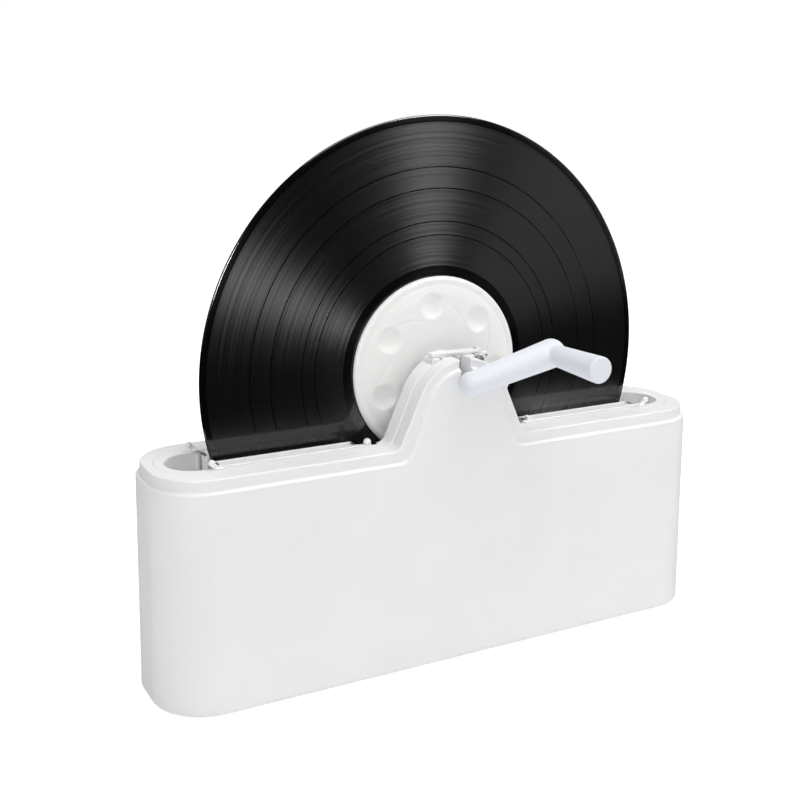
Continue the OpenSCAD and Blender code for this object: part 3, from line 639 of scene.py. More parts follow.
def all_round(quarter_grid):
    """The whole path from one quarter: its mirror images follow each other round the casing."""
    back = mirrored(quarter_grid, y=True)[:, ::-1]
    far = mirrored(quarter_grid, x=True, y=True)
    left = mirrored(quarter_grid, x=True)[:, ::-1]
    return np.concatenate([quarter_grid[:, :-1], back[:, :-1], far[:, :-1], left[:, :-1]], 1)


SLOT_HALF, SLOT_RISE = 4, 30
CUT_NEAR, CUT_FAR = 22, 60


def slot_cutter(y0, y1):
    """A round-bottomed block that the axle's slot is cut with."""
    bottom = circle_arc(0, AXLE_Z, SLOT_HALF, 180, 360, 16)
    top_z = AXLE_Z + SLOT_RISE
    outline = np.concatenate([bottom, [[SLOT_HALF, top_z], [-SLOT_HALF, top_z]]])
    return plate("slot_cutter", outline, y0, y1, edge=0.01, steps=1)


casing = surface("casing_shell", all_round(section), wrap_rows=True, wrap_cols=True)
cut(casing, [slot_cutter(-CUT_FAR, -CUT_NEAR), slot_cutter(CUT_NEAR, CUT_FAR)])
dress(casing, "housing", "casing_white", CASING_WHITE, "outer_casing")

# %% [markdown]
# The bath is a second moulding that drops into the deck. Its flange lies flush with the rim, its
# upper gallery holds the brushes, and the narrow well below follows the edge of the record. It is
# made the same way: stations round the slot, and a section that goes over the flange, down the
# gallery, down the well and back along the underside.

# %% Bath insert
FLANGE_L, FLANGE_Y, FLANGE_CORNER, FLANGE_T = 356, 25.5, 25, 2.5
SLOT_L, SLOT_Y, SLOT_CORNER = 344, 17, 16.5
TANK_WALL = 2
GALLERY_Z = DECK_Z - 30.6
WELL_Y = 10.5
WELL_R = RECORD_R + 7
PAD_X, PAD_Y = 43, 14
SLOT_ROUND, TANK_ROUND, WELL_LIP = 0.9, 1.6, 0.8


def flat_quarter(half_l, half_w, corner, z):
    """A quarter of a plain rounded outline, on the same stations as the flange."""
    return quarter(half_l, half_w, corner, z, level(tank_x, z))


tank_x = np.concatenate([np.linspace(0, PAD_X, 14), [PAD_X + 0.4], np.linspace(PAD_X + 2, 60, 4)])
flange, flange_out, _ = flat_quarter(FLANGE_L / 2, FLANGE_Y, FLANGE_CORNER, DECK_Z)
slot, _, _ = flat_quarter(SLOT_L / 2, SLOT_Y, SLOT_CORNER, DECK_Z)
well_end = math.sqrt(WELL_R**2 - (AXLE_Z - GALLERY_Z) ** 2)
well, _, _ = flat_quarter(well_end, WELL_Y, 0.01, GALLERY_Z)


def well_floor(plan, radius):
    """Height of the well's floor below a plan point: axle - sqrt(radius^2 - x^2), at most as high
    as the gallery's floor."""
    return AXLE_Z - np.sqrt(np.maximum(radius**2 - plan[:, 0] ** 2, (AXLE_Z - GALLERY_Z) ** 2))


def with_height(row, z):
    """The same plan with a height of its own at each station."""
    lifted = row.copy()
    lifted[:, 2] = z
    return lifted


def shell_rows(grow):
    """The inner face of the bath for grow = 0, or its outer face for grow = wall thickness."""
    gallery = slot + grow * flange_out
    trough = well + grow * flange_out
    ledge_z = GALLERY_Z - grow
    floor = well_floor(well, WELL_R) - grow
    side = [at_height(gallery, ledge_z + TANK_ROUND * 2)]
    middle = at_height(gallery, ledge_z) + TANK_ROUND * (UP - flange_out)
    side += [middle - TANK_ROUND * (UP * math.sin(p) - flange_out * math.cos(p)) for p in arc(0, 90, 3)]
    edge = at_height(trough, ledge_z)
    side += [edge + flange_out * WELL_LIP, edge]
    for height in (floor + 0.6 * (GALLERY_Z - floor), floor + 1.5):
        side.append(with_height(trough, np.minimum(ledge_z, height)))
    for share in (0.9, 0.5, 0):
        side.append(with_height(trough * [1, share, 1], floor))
    return side


top = corner_rows(flange, flange_out, UP, 0.1, 3)
top += between(top[-1], slot + SLOT_ROUND * flange_out, (0.05, 0.5, 0.95))
top += [slot + SLOT_ROUND * (flange_out - UP) + SLOT_ROUND * (UP * math.cos(p) - flange_out * math.sin(p))
        for p in arc(0, 90, 4)]
inside = shell_rows(0)
outside = shell_rows(TANK_WALL)
under = [at_height(slot + TANK_WALL * flange_out, DECK_Z - FLANGE_T), at_height(flange, DECK_Z - FLANGE_T)]
bath_section = np.stack(top + inside)
bath_under = np.stack(outside[::-1] + under)
liner = surface("bath_inside", all_round(np.concatenate([bath_under, bath_section])), wrap_cols=True)

# %% [markdown]
# The inner half of each pillar belongs to the bath. It is a plate with the pillar's outline, and its
# top is cut away in steps for the bearing block. Below the deck it goes on as a thick pad, and
# slender ribs on the wall guide the end plates of the brush holders.

# %% Inner pillars, pads and guide ribs
BLOCK_R, BLOCK_LEFT, BLOCK_RIGHT = 10.0, 15.6, 13.3
SEAT_Z, BLOCK_Z = AXLE_Z + 3.5, AXLE_Z + 11.1
STEP_Z = SEAT_Z - 5.2
PLAY = 0.3
RIB_T, END_T = 1.7, 2.4
BRUSH_IN, BRUSH_OUT = 60, 146.7


def inner_pillar_outline():
    """The pillar's bell with the stepped pocket of the bearing block in its top, from the left foot
    up, through the pocket and down to the right foot."""
    right = pillar_bell[0]
    left = right[::-1] * [-1, 1]
    pocket_r, pocket_left = BLOCK_R + PLAY, BLOCK_LEFT + PLAY
    left_z = DOME_Z + math.sqrt(PILLAR_R**2 - pocket_left**2)
    left = left[(left[:, 1] < left_z) & (left[:, 0] < 0)]
    right = right[right[:, 1] < STEP_Z]
    bowl = circle_arc(0, AXLE_Z, pocket_r, 180, 360, 24)
    steps_left = [[-pocket_left, left_z], [-pocket_left, SEAT_Z], [-pocket_r, SEAT_Z]]
    steps_right = [[pocket_r, SEAT_Z], [BLOCK_RIGHT, SEAT_Z], [BLOCK_RIGHT, STEP_Z],
                   [math.sqrt(PILLAR_R**2 - (STEP_Z - DOME_Z) ** 2), STEP_Z]]
    foot_z = DECK_Z - FLANGE_T + 0.2
    foot = [[right[-1, 0], foot_z], [left[0, 0], foot_z]]
    return np.concatenate([left, steps_left, bowl, steps_right, right, foot])


def block(name, low, high, edge=0.4):
    """A rounded box between two corners, drawn as a plate with a four-cornered outline."""
    outline = [[low[0], low[2]], [high[0], low[2]], [high[0], high[2]], [low[0], high[2]]]
    return plate(name, outline, low[1], high[1], edge)


def both_depths(y0, y1, side):
    """The depth range on the front (side -1) or the rear (side 1)."""
    return sorted((side * y0, side * y1))


rib_places = (BRUSH_IN - PLAY - RIB_T, BRUSH_IN + END_T + PLAY,
              BRUSH_OUT - END_T - PLAY - RIB_T, BRUSH_OUT + PLAY)
bath_parts = [liner]
for side in (-1, 1):
    y0, y1 = both_depths(PAD_Y, FLANGE_Y, side)
    bath_parts.append(plate("pillar_inner", inner_pillar_outline(), y0, y1, edge=0.7, steps=4))
    y0, y1 = both_depths(PAD_Y, SLOT_Y + 1, side)
    bath_parts.append(block("pad", (-PAD_X, y0, GALLERY_Z - 1), (PAD_X, y1, DECK_Z - 0.2), 0.6))
    for x in rib_places:
        for end in (-1, 1):
            x0, x1 = sorted((end * x, end * (x + RIB_T)))
            y0, y1 = both_depths(SLOT_Y - 1.6, SLOT_Y + 0.4, side)
            bath_parts.append(block("rib", (x0, y0, GALLERY_Z - 0.5), (x1, y1, DECK_Z - 1.6), 0.3))
bath = join("bath_insert", bath_parts)
dress(bath, "housing", "tank_white", TANK_WHITE, "tank")

# %% [markdown]
# The bearing block drops into the pillar's pocket. It has a round foot, a flat top with an upright
# slot and a narrow groove, and an ear for the latch's pin. The flanged bush lies in the slot's round
# bottom.

# %% Bearing blocks and bushes
BUSH_R, AXLE_R, PRESS, RUN = 5.4, 3.5, 0.05, 0.06
BLOCK_Y0, BLOCK_Y1 = 14.2, 25.2
BUSH_Y0, BUSH_Y1, BUSH_FLANGE = 12.7, 13.9, 2
CATCH_X, CATCH_W, CATCH_DEEP, CATCH_DROP = 9.8, 0.6, 4.8, 4.4
LATCH_GAP, LATCH_DROP = 0.3, 3.2
LATCH_X, LATCH_Z = 18.2, BLOCK_Z + LATCH_GAP - LATCH_DROP
EAR_R, EAR_T, PIN_R = 3.2, 2.8, 1.5


def block_outline():
    """The bearing block's outline: round foot, shoulders, a slot with a round bottom, and the narrow
    groove for the latch's catch."""
    bore = BUSH_R + PRESS
    foot_round = circle_arc(0, AXLE_Z, BLOCK_R, 180, 360, 28)
    slot_round = circle_arc(0, AXLE_Z, bore, 0, -180, 24)
    groove_z, groove_x0, groove_x1 = BLOCK_Z - CATCH_DEEP, -CATCH_X - PLAY, -CATCH_X + CATCH_W + PLAY
    right = [[BLOCK_R, SEAT_Z], [BLOCK_RIGHT, SEAT_Z], [BLOCK_RIGHT, BLOCK_Z - 0.5],
             [BLOCK_RIGHT - 0.5, BLOCK_Z], [bore + 0.4, BLOCK_Z], [bore, BLOCK_Z - 0.4]]
    left = [[-bore, BLOCK_Z - 0.4], [-bore - 0.4, BLOCK_Z], [groove_x1, BLOCK_Z], [groove_x1, groove_z],
            [groove_x0, groove_z], [groove_x0, BLOCK_Z], [-BLOCK_LEFT + 0.5, BLOCK_Z],
            [-BLOCK_LEFT, BLOCK_Z - 0.5], [-BLOCK_LEFT, SEAT_Z], [-BLOCK_R, SEAT_Z]]
    return np.concatenate([foot_round, right, slot_round, left])


def ear_outline():
    """The ear that carries the latch pin: a strip with a round end."""
    tip, root = circle_arc(LATCH_X, LATCH_Z, EAR_R, -90, 90, 14), BLOCK_RIGHT - 1
    return np.concatenate([[[root, LATCH_Z - EAR_R]], tip, [[root, LATCH_Z + EAR_R]]])


def ring_plate(name, outline, hole_x, hole_z, hole_r, y0, y1, edge=0.3):
    """A plate with a round hole. The hole's circle gets as many points as the outline, each at the
    angle of its outline point, and the section runs through the hole and round both faces."""
    outline = counter_clockwise(outline)
    away = outline - [hole_x, hole_z]
    away = away / np.linalg.norm(away, axis=1)[:, None]
    circle = np.array([hole_x, hole_z]) + hole_r * away
    normal = outline_normals(outline)
    p = arc(0, 90, 3)

    def at(flat, depth):
        return np.stack([flat[:, 0], np.full(len(flat), depth), flat[:, 1]], 1)

    ring = [at(circle, y0 + 0.15), at(circle + 0.15 * away, y0)]
    ring += [at(outline - edge * (1 - math.sin(q)) * normal, y0 + edge * (1 - math.cos(q))) for q in p]
    ring += [at(outline - edge * (1 - math.sin(q)) * normal, y1 - edge * (1 - math.cos(q))) for q in p[::-1]]
    ring += [at(circle + 0.15 * away, y1), at(circle, y1 - 0.15)]
    return surface(name, np.stack(ring), wrap_rows=True, wrap_cols=True)


def bush_profile(side):
    """The flanged bush as a closed profile of radius and depth."""
    hole, flange_r = AXLE_R + RUN, BUSH_R + BUSH_FLANGE
    points = [(hole, BUSH_Y0), (flange_r, BUSH_Y0), (flange_r, BUSH_Y1), (BUSH_R, BUSH_Y1),
              (BUSH_R, BLOCK_Y1), (hole, BLOCK_Y1), (hole, BUSH_Y0)]
    return fillet([(r, side * y) for r, y in points], [0.25, 0.25, 0.15, 0.2, 0.2])


for side, where in ((-1, "front"), (1, "rear")):
    body_y = both_depths(BLOCK_Y0, BLOCK_Y1, side)
    ear_y = both_depths(BLOCK_Y0, BLOCK_Y0 + EAR_T, side)
    body = plate("block", block_outline(), *body_y, edge=0.35)
    ear = ring_plate("ear", ear_outline(), LATCH_X, LATCH_Z, PIN_R + PRESS, *ear_y)
    shape = join(f"{where}_bearing", [body, ear])
    dress(shape, "carriage", "tank_white", TANK_WHITE, f"{where}_bearing_block")
    ring = turned(f"{where}_bush_ring", bush_profile(side), 48)
    dress(ring, "carriage", "clamp_white", CLAMP_WHITE, f"{where}_bush")

# %% [markdown]
# The swing latch lies over the bush. It is a flat bar with a tongue that reaches down into the slot,
# a thin catch in its groove, a barrel round the steel pin, and a thumb tab with a small hole.

# %% Latches and pins
ARM_LEFT, ARM_Z0, ARM_T = -14.6, BLOCK_Z + LATCH_GAP, 2.2
TONGUE_X0, TONGUE_X1 = 1.9, 5.0
BARREL_Y0, BARREL_Y1, BARREL_R = 17.3, 21.3, 3.0
TAB_IN, TAB_L, TAB_T, TAB_DROP, TAB_HOLE = 2.2, 8.8, 4.0, 1.4, 0.9


def barrel_outline():
    """Round barrel that runs up into the arm, with square shoulders."""
    low = circle_arc(LATCH_X, LATCH_Z, BARREL_R, 180, 360, 16)
    right, top, bevel = LATCH_X + BARREL_R, ARM_Z0 + ARM_T, 1.2
    return np.concatenate([low, [[right, top - bevel], [right - bevel, top], [LATCH_X - BARREL_R, top]]])


def arm_outline():
    """The bar from its rounded left end to the barrel, with the tongue and the catch below it."""
    top = ARM_Z0 + ARM_T
    start = (ARM_LEFT + 0.6, top)
    tongue_z = AXLE_Z + BUSH_R + 2 * PLAY
    catch_z, catch_right = ARM_Z0 - CATCH_DROP, -CATCH_X + CATCH_W
    corners = [start, (ARM_LEFT, top), (ARM_LEFT, ARM_Z0), (-CATCH_X, ARM_Z0), (-CATCH_X, catch_z),
               (catch_right, catch_z), (catch_right, ARM_Z0), (TONGUE_X0, ARM_Z0), (TONGUE_X0, tongue_z),
               (TONGUE_X1, tongue_z), (TONGUE_X1, ARM_Z0), (LATCH_X, ARM_Z0), (LATCH_X, top), start]
    radii = [0.5, 0.5, 0.15, 0.2, 0.2, 0.15, 0.4, 0.9, 0.9, 0.4, 0.1, 0.1]
    return fillet(corners, radii, 3)[:-1]


def tab_outline():
    """The thumb tab: a strip with a round outer end."""
    z0, r = LATCH_Z - TAB_DROP, TAB_T / 2
    tip = circle_arc(LATCH_X + TAB_L - r, z0 + r, r, -90, 90, 12)
    return np.concatenate([[[LATCH_X + TAB_IN, z0]], tip, [[LATCH_X + TAB_IN, z0 + TAB_T]]])


def grip_ribs(side):
    """Fine ribs across the right part of the latch's arm, for the finger."""
    y0, y1 = both_depths(BARREL_Y0 + 0.5, BARREL_Y1 + 1.6, side)
    a = arc(0, 180, 6)
    rib = np.stack([0.45 * np.cos(a), 0.4 * np.sin(a)], 1)
    return [plate("grip_rib", rib + [x, ARM_Z0 + ARM_T - 0.02], y0, y1, edge=0.1, steps=1)
            for x in np.arange(6.5, 15.6, 1.5)]


def steel(name, roughness, base, dark, light, tone_scale, lines_scale, stretch, gloss, line_relief):
    """Bare steel: fine lines along or round the piece, by the stretch, and a slow change of tone."""
    material, tree, shader = new_material(name, roughness, base)
    shader.inputs["Metallic"].default_value = 1.0
    lines = noise(tree, lines_scale, 3, stretch)
    tree.links.new(spread(tree, lines, *gloss), shader.inputs["Roughness"])
    tone = two_tones(tree, spread(tree, noise(tree, tone_scale, 3), 0, 1), dark, light)
    tree.links.new(tone, shader.inputs["Base Color"])
    tree.links.new(relief(tree, lines, line_relief, 0.00001), shader.inputs["Normal"])
    return material


GUNMETAL = steel("latch_steel", 0.38, (0.42, 0.41, 0.40), (0.34, 0.33, 0.32), (0.46, 0.45, 0.44),
                 tone_scale=300, lines_scale=900, stretch=(1, 0.05, 1), gloss=(0.22, 0.42),
                 line_relief=0.3)


def pin_profile(side, y0, y1, r, head_r, head_t):
    """A round pin with a domed head at its outer end, as radius and depth."""
    head = [(head_r * math.cos(p), y1 - 0.3 + 0.3 * math.sin(p)) for p in arc(0, 90, 4)]
    points = [(0, y0), (r - 0.2, y0), (r, y0 + 0.2), (r, y1 - head_t), (head_r, y1 - head_t)] + head
    return np.array([(a, side * b) for a, b in points])


def moved(piece, dx, dz):
    """Moves a piece's mesh across, which leaves its object at the origin."""
    piece.data.transform(Matrix.Translation((dx * MM, 0, dz * MM)))
    return piece


pins = []
hole_x, hole_z = LATCH_X + 0.75 * TAB_L, LATCH_Z - TAB_DROP + TAB_T / 2
for side, where in ((-1, "front"), (1, "rear")):
    barrel_y = both_depths(BARREL_Y0, BARREL_Y1, side)
    arm_y = both_depths(BARREL_Y0, BARREL_Y1 + 2, side)
    tab_y = both_depths(BARREL_Y0 + 0.2, BARREL_Y1 - 0.2, side)
    parts = [plate("arm", arm_outline(), *arm_y, edge=0.3),
             ring_plate("barrel", barrel_outline(), LATCH_X, LATCH_Z, PIN_R + RUN, *barrel_y),
             ring_plate("tab", tab_outline(), hole_x, hole_z, TAB_HOLE, *tab_y)]
    latch = join(f"{where}_swing_latch", parts + grip_ribs(side))
    dress(latch, f"{where}_latch", "tank_white", TANK_WHITE, f"{where}_latch")
    pin = turned("pin", pin_profile(side, BLOCK_Y0, BLOCK_Y1, PIN_R, PIN_R + 1, 0.8), 32)
    pins.append(moved(pin, LATCH_X, LATCH_Z - AXLE_Z))
dress(join("latch_pin_pair", pins), "carriage", "dark_steel", GUNMETAL, "latch_pins")

# %% [markdown]
# The record is pressed vinyl. Its groove is finer than a pixel, so it isn't drawn as a mesh. What
# the eye sees of it is the way it throws light: sharp along the groove and widely spread across it,
# which turns every lamp into a bright wedge that points at the hole. An anisotropic shader does just
# that. Smooth bands between the tracks, a glossy run-out and faint rings are added by the distance
# from the axle, and a clear coat mirrors the white deck as the lands of the groove do.

# %% Record
HOLE_R, LABEL_R, LAND_R = 3.63, 50, 57
LABEL_HALF, GROOVE_HALF, BEAD_HALF, BEAD_W = 1.1, 0.85, 1.0, 5
TRACK_GAPS, GAP_HALF = (121.0, 108.5, 89.0, 81.0), 0.35
SMOOTH_BANDS = [(middle, GAP_HALF) for middle in TRACK_GAPS] + [(56.5, 6.0), (RECORD_R - 1.5, 2.6)]


def record_profile():
    """Half a section of the disc, as radius and depth, from the hole out over the front face, round
    the edge and back: raised label, flat grooved land, a bead, and a round rim."""
    bead_r = RECORD_R - BEAD_W
    corners = [(HOLE_R, -LABEL_HALF), (LABEL_R, -LABEL_HALF), (LABEL_R + 0.6, -GROOVE_HALF),
               (LAND_R, -GROOVE_HALF), (bead_r, -GROOVE_HALF), (bead_r + 1.2, -BEAD_HALF),
               (RECORD_R - 0.6, -BEAD_HALF), (RECORD_R, -BEAD_HALF + 0.6), (RECORD_R, 0)]
    front = fillet(corners, [0.4, 0.4, 0, 1.5, 1.5, 0.5, 0.6], 4)
    lands = np.stack([np.linspace(LAND_R + 3, bead_r - 3, 24), np.full(24, -GROOVE_HALF)], 1)
    front = np.concatenate([front[front[:, 0] <= LAND_R], lands, front[front[:, 0] > bead_r - 2]])
    return np.concatenate([front, front[-2::-1] * [1, -1], front[:1]])


def distance_from_axle(tree):
    """The length of Object coordinates, moved to the axle and flattened along it."""
    where = tree.nodes.new("ShaderNodeTexCoord")
    place = tree.nodes.new("ShaderNodeMapping")
    place.inputs["Location"].default_value = (0, 0, -AXLE_Z * MM)
    place.inputs["Scale"].default_value = (1, 0, 1)
    length = tree.nodes.new("ShaderNodeVectorMath")
    length.operation = "LENGTH"
    tree.links.new(where.outputs["Object"], place.inputs["Vector"])
    tree.links.new(place.outputs["Vector"], length.inputs[0])
    return length.outputs["Value"]


def ring_noise(tree, radius, rings_per_metre, detail):
    """Noise along the radius alone, which draws rings."""
    pattern = tree.nodes.new("ShaderNodeTexNoise")
    pattern.noise_dimensions = "1D"
    pattern.inputs["Scale"].default_value = rings_per_metre
    pattern.inputs["Detail"].default_value = detail
    tree.links.new(radius, pattern.inputs["W"])
    return pattern.outputs["Fac"]


def band(tree, radius, middle, half):
    """One where the radius is within half a width of a circle, in millimetres, and zero elsewhere."""
    node = tree.nodes.new("ShaderNodeMath")
    node.operation = "COMPARE"
    tree.links.new(radius, node.inputs[0])
    node.inputs[1].default_value = middle * MM
    node.inputs[2].default_value = half * MM
    return node.outputs["Value"]


def pressed_vinyl():
    """Black vinyl: grooved land, smooth bands, and a paper label in the middle."""
    material, tree, shader = new_material("pressed_vinyl", 0.42, (0.002, 0.002, 0.002))
    radius = distance_from_axle(tree)
    rings = ring_noise(tree, radius, 520, 4)
    fine = ring_noise(tree, radius, 2600, 2)
    smooth = band(tree, radius, *SMOOTH_BANDS[0])
    for middle, half in SMOOTH_BANDS[1:]:
        smooth = calculate(tree, "ADD", smooth, band(tree, radius, middle, half))
    smooth = calculate(tree, "MINIMUM", smooth, 1.0)
    grooved = spread(tree, rings, 0.33, 0.45)
    rough = calculate(tree, "MULTIPLY", grooved, spread(tree, smooth, 1.0, 0.45, 0, 1))
    tree.links.new(rough, shader.inputs["Roughness"])
    label = calculate(tree, "LESS_THAN", radius, LABEL_R * MM)
    vinyl = two_tones(tree, rings, (0.0008, 0.0009, 0.001), (0.0018, 0.002, 0.0022))
    paper = two_tones(tree, noise(tree, 900, 4), (0.50, 0.47, 0.40), (0.58, 0.55, 0.48))
    mix = tree.nodes.new("ShaderNodeMix")
    mix.data_type = "RGBA"
    tree.links.new(label, mix.inputs["Factor"])
    tree.links.new(vinyl, mix.inputs["A"])
    tree.links.new(paper, mix.inputs["B"])
    tree.links.new(mix.outputs["Result"], shader.inputs["Base Color"])
    coarse = relief(tree, rings, 0.35, 0.00002)
    tree.links.new(relief(tree, fine, 0.25, 0.00001, coarse), shader.inputs["Normal"])
    tangent = tree.nodes.new("ShaderNodeTangent")
    tangent.direction_type = "RADIAL"
    tangent.axis = "Y"
    tree.links.new(tangent.outputs["Tangent"], shader.inputs["Tangent"])
    shader.inputs["Anisotropic"].default_value = 0.94
    shader.inputs["Anisotropic Rotation"].default_value = 0.25
    shader.inputs["Specular IOR Level"].default_value = 0.45
    shader.inputs["Coat Weight"].default_value = 0.7
    shader.inputs["Coat Roughness"].default_value = 0.035
    shader.inputs["Coat IOR"].default_value = 1.45
    return material


VINYL = pressed_vinyl()
disc = turned("record_disc", record_profile(), 288)
dress(disc, "rotor", "vinyl_black", VINYL, "record")

# %% [markdown]
# The label clamps are moulded caps. Their face is drawn as a height over the circle: the section
# gives the height by radius, round thumb dimples are cut into it, and a shallow curved crease runs
# on from each dimple towards the hub, so that together they look like the blades of a fan.

# %% Label clamps
CLAMP_R, CLAMP_RIM, HUB_R = 56.2, 4.2, 11.0
SEAL_IN, SEAL_OUT, SEAL_TOP = 52.7, 55.4, 2.9
STEP_R = 49
DIMPLES, DIMPLE_W, DIMPLE_D, DIMPLE_AT, DIMPLE_TURN, DIMPLE_SOFT = 7, 16, 2.2, 41, 46, 0.35
CREASE_D, CREASE_W, CREASE_R, CREASE_FALL = 0.34, 0.55, 43, 0.36
CREASE_START, CREASE_END, FADE_IN, FADE_OUT = 8, 40, 4, 10
TURNS = 420


def clamp_outer(dome, hub):
    """Face of the clamp from its foot on the record, over the rim and the dome, up to the hub."""
    rise = dome - CLAMP_RIM
    rim = [(CLAMP_R - 0.3, GROOVE_HALF + 0.4), (CLAMP_R, GROOVE_HALF + 0.7), (CLAMP_R, CLAMP_RIM - 1.6),
           (CLAMP_R - 0.5, CLAMP_RIM - 0.9), (CLAMP_R - 1.8, CLAMP_RIM - 0.1),
           (CLAMP_R - 2.6, CLAMP_RIM), (CLAMP_R - 5, CLAMP_RIM), (CLAMP_R - 6.2, CLAMP_RIM + 0.4)]
    slope = [(DIMPLE_AT + 4, CLAMP_RIM + rise * 0.45), (DIMPLE_AT - 8, CLAMP_RIM + rise * 0.8)]
    middle = [(HUB_R + 8, dome), (HUB_R + 0.4, dome), (HUB_R, hub - 0.5), (HUB_R - 0.5, hub),
              (AXLE_R + PRESS, hub)]
    hub_round = 0.4 if hub > dome else 0
    radii = [0.3, 0.5, 0.5, 1.0, 0.8, 0.6, 0.7, 3, 8, 8, hub_round, 0.3, 0.3]
    return fillet(rim + slope + middle, radii, 3)


def clamp_inner(hub):
    """Underside: back along the axle's hole, out over the label, and round the groove of the seal."""
    hole, label, land = AXLE_R + PRESS, LABEL_HALF + PRESS, GROOVE_HALF + 0.6
    groove_in, groove_out, groove_top = SEAL_IN - 0.1, SEAL_OUT + 0.1, SEAL_TOP + 0.1
    return np.array([(hole, hub - 0.2), (hole, label), (STEP_R, label), (STEP_R, land), (groove_in, land),
                     (groove_in, groove_top), (groove_out, groove_top), (groove_out, GROOVE_HALF + 0.4),
                     (CLAMP_R - 0.3, GROOVE_HALF + 0.4)])


def finer(profile, step):
    """The same path with points added so that none is further than step from the next."""
    points = [profile[:1]]
    for a, b in zip(profile[:-1], profile[1:]):
        count = max(1, int(np.ceil(np.linalg.norm(b - a) / step)))
        points.append(a + (b - a) * (np.arange(1, count + 1) / count)[:, None])
    return np.concatenate(points)


def clamp_cap(name, dome, hub, side):
    """The cap as a grid: rows go along the section, columns round the axle. Inside a dimple the
    height is the lower one of the face and the ball that is pressed into it, with a soft edge. The
    crease follows radius = CREASE_R - CREASE_FALL * (degrees behind the dimple - CREASE_START), is
    a narrow bell curve across, and fades in and out at its ends."""
    outer = finer(clamp_outer(dome, hub), 0.75)
    section = np.concatenate([outer, clamp_inner(hub)])
    a = np.arange(TURNS) * 2 * math.pi / TURNS
    r, h = section[:, 0][:, None] + 0 * a, section[:, 1][:, None] + 0 * a
    face = np.zeros(len(section), bool)
    face[:len(outer)] = (outer[:, 0] < CLAMP_R - 4) & (outer[:, 0] > HUB_R + 1)
    ball = (DIMPLE_D**2 + DIMPLE_W**2 / 4) / (2 * DIMPLE_D)
    face_h = CLAMP_RIM + (dome - CLAMP_RIM) * 0.55
    lowered = h.copy()
    for i in range(DIMPLES):
        middle = math.radians(DIMPLE_TURN + 360 * i / DIMPLES)
        dx = r * np.cos(a) - DIMPLE_AT * math.cos(middle)
        dz = r * np.sin(a) - DIMPLE_AT * math.sin(middle)
        gap = np.sqrt(dx**2 + dz**2)
        bowl = face_h + ball - DIMPLE_D - np.sqrt(np.maximum(ball**2 - gap**2, 0.01))
        soft = np.clip(0.5 + 0.5 * (bowl - lowered) / DIMPLE_SOFT, 0, 1)
        pressed = bowl * (1 - soft) + lowered * soft - DIMPLE_SOFT * soft * (1 - soft)
        lowered = np.where(gap < DIMPLE_W * 0.8, pressed, lowered)
        behind = np.degrees((middle - a + math.pi) % (2 * math.pi) - math.pi)
        crease = CREASE_R - CREASE_FALL * (behind - CREASE_START)
        fade_in = np.clip((behind - CREASE_START) / FADE_IN, 0, 1)
        fade = fade_in * np.clip((CREASE_END - behind) / FADE_OUT, 0, 1)
        lowered -= CREASE_D * fade * np.exp(-((r - crease) / CREASE_W) ** 2)
    h = np.where(face[:, None], lowered, h)
    grid = np.stack([r * np.cos(a), side * h, AXLE_Z + r * np.sin(a)], 2)
    return surface(name, grid, wrap_rows=True, wrap_cols=True, sharp=40)


def seal_ring(name, side):
    """A flat rubber ring with a rounded lip."""
    sole = GROOVE_HALF + PRESS
    section = fillet([(SEAL_IN, sole), (SEAL_OUT, sole), (SEAL_OUT, SEAL_TOP), (SEAL_IN, SEAL_TOP),
                      (SEAL_IN, sole)], [0.5, 0.4, 0.4], 4)
    return turned(name, section * [1, side], 144)


def soft_rubber():
    """Dark rubber with a fine matt grain and a dusting of wear."""
    material, tree, shader = new_material("seal_rubber", 0.7, (0.05, 0.05, 0.052))
    dust = noise(tree, 140, 5)
    tone = two_tones(tree, spread(tree, dust, 0, 1), (0.035, 0.035, 0.037), (0.075, 0.075, 0.078))
    tree.links.new(tone, shader.inputs["Base Color"])
    tree.links.new(spread(tree, dust, 0.62, 0.82), shader.inputs["Roughness"])
    tree.links.new(relief(tree, noise(tree, 3500, 2), 0.4, 0.00004), shader.inputs["Normal"])
    return material


RUBBER = soft_rubber()
CLAMP_DOME, HUB_D, REAR_DOME = 7.6, 11.3, 5.6
front_cap = clamp_cap("front_label_clamp", CLAMP_DOME, HUB_D, -1)
dress(front_cap, "rotor", "clamp_white", CLAMP_WHITE, "front_clamp")
rear_cap = clamp_cap("rear_label_clamp", REAR_DOME, REAR_DOME, 1)
dress(rear_cap, "rear_clamp", "clamp_white", CLAMP_WHITE, "rear_clamp")
dress(seal_ring("front_seal_ring", -1), "rotor", "seal_rubber", RUBBER, "front_seal")
dress(seal_ring("rear_seal_ring", 1), "rear_clamp", "seal_rubber", RUBBER, "rear_seal")

# %% [markdown]
# Axle, spring clip and clamp nut. The axle is a ground steel rod, so its finish has hair-fine lines
# round it. The clip is a flat ring with a gap. The nut is a plastic disc with ten finger notches,
# and its outline is a circle whose radius dips at each notch.

# %% Axle, clip and nut
AXLE_Y0, AXLE_Y1 = -50.6, 38
CLIP_Y0, CLIP_Y1, CLIP_R = -12.4, -11.6, 5.5
NUT_R, NUT_Y0, NUT_Y1, NUT_GRIPS, NOTCH_R, NOTCH_OUT = 13, 5.9, 9.9, 10, 2.2, 0.25
ROD_TONE = (0.62, 0.62, 0.63)

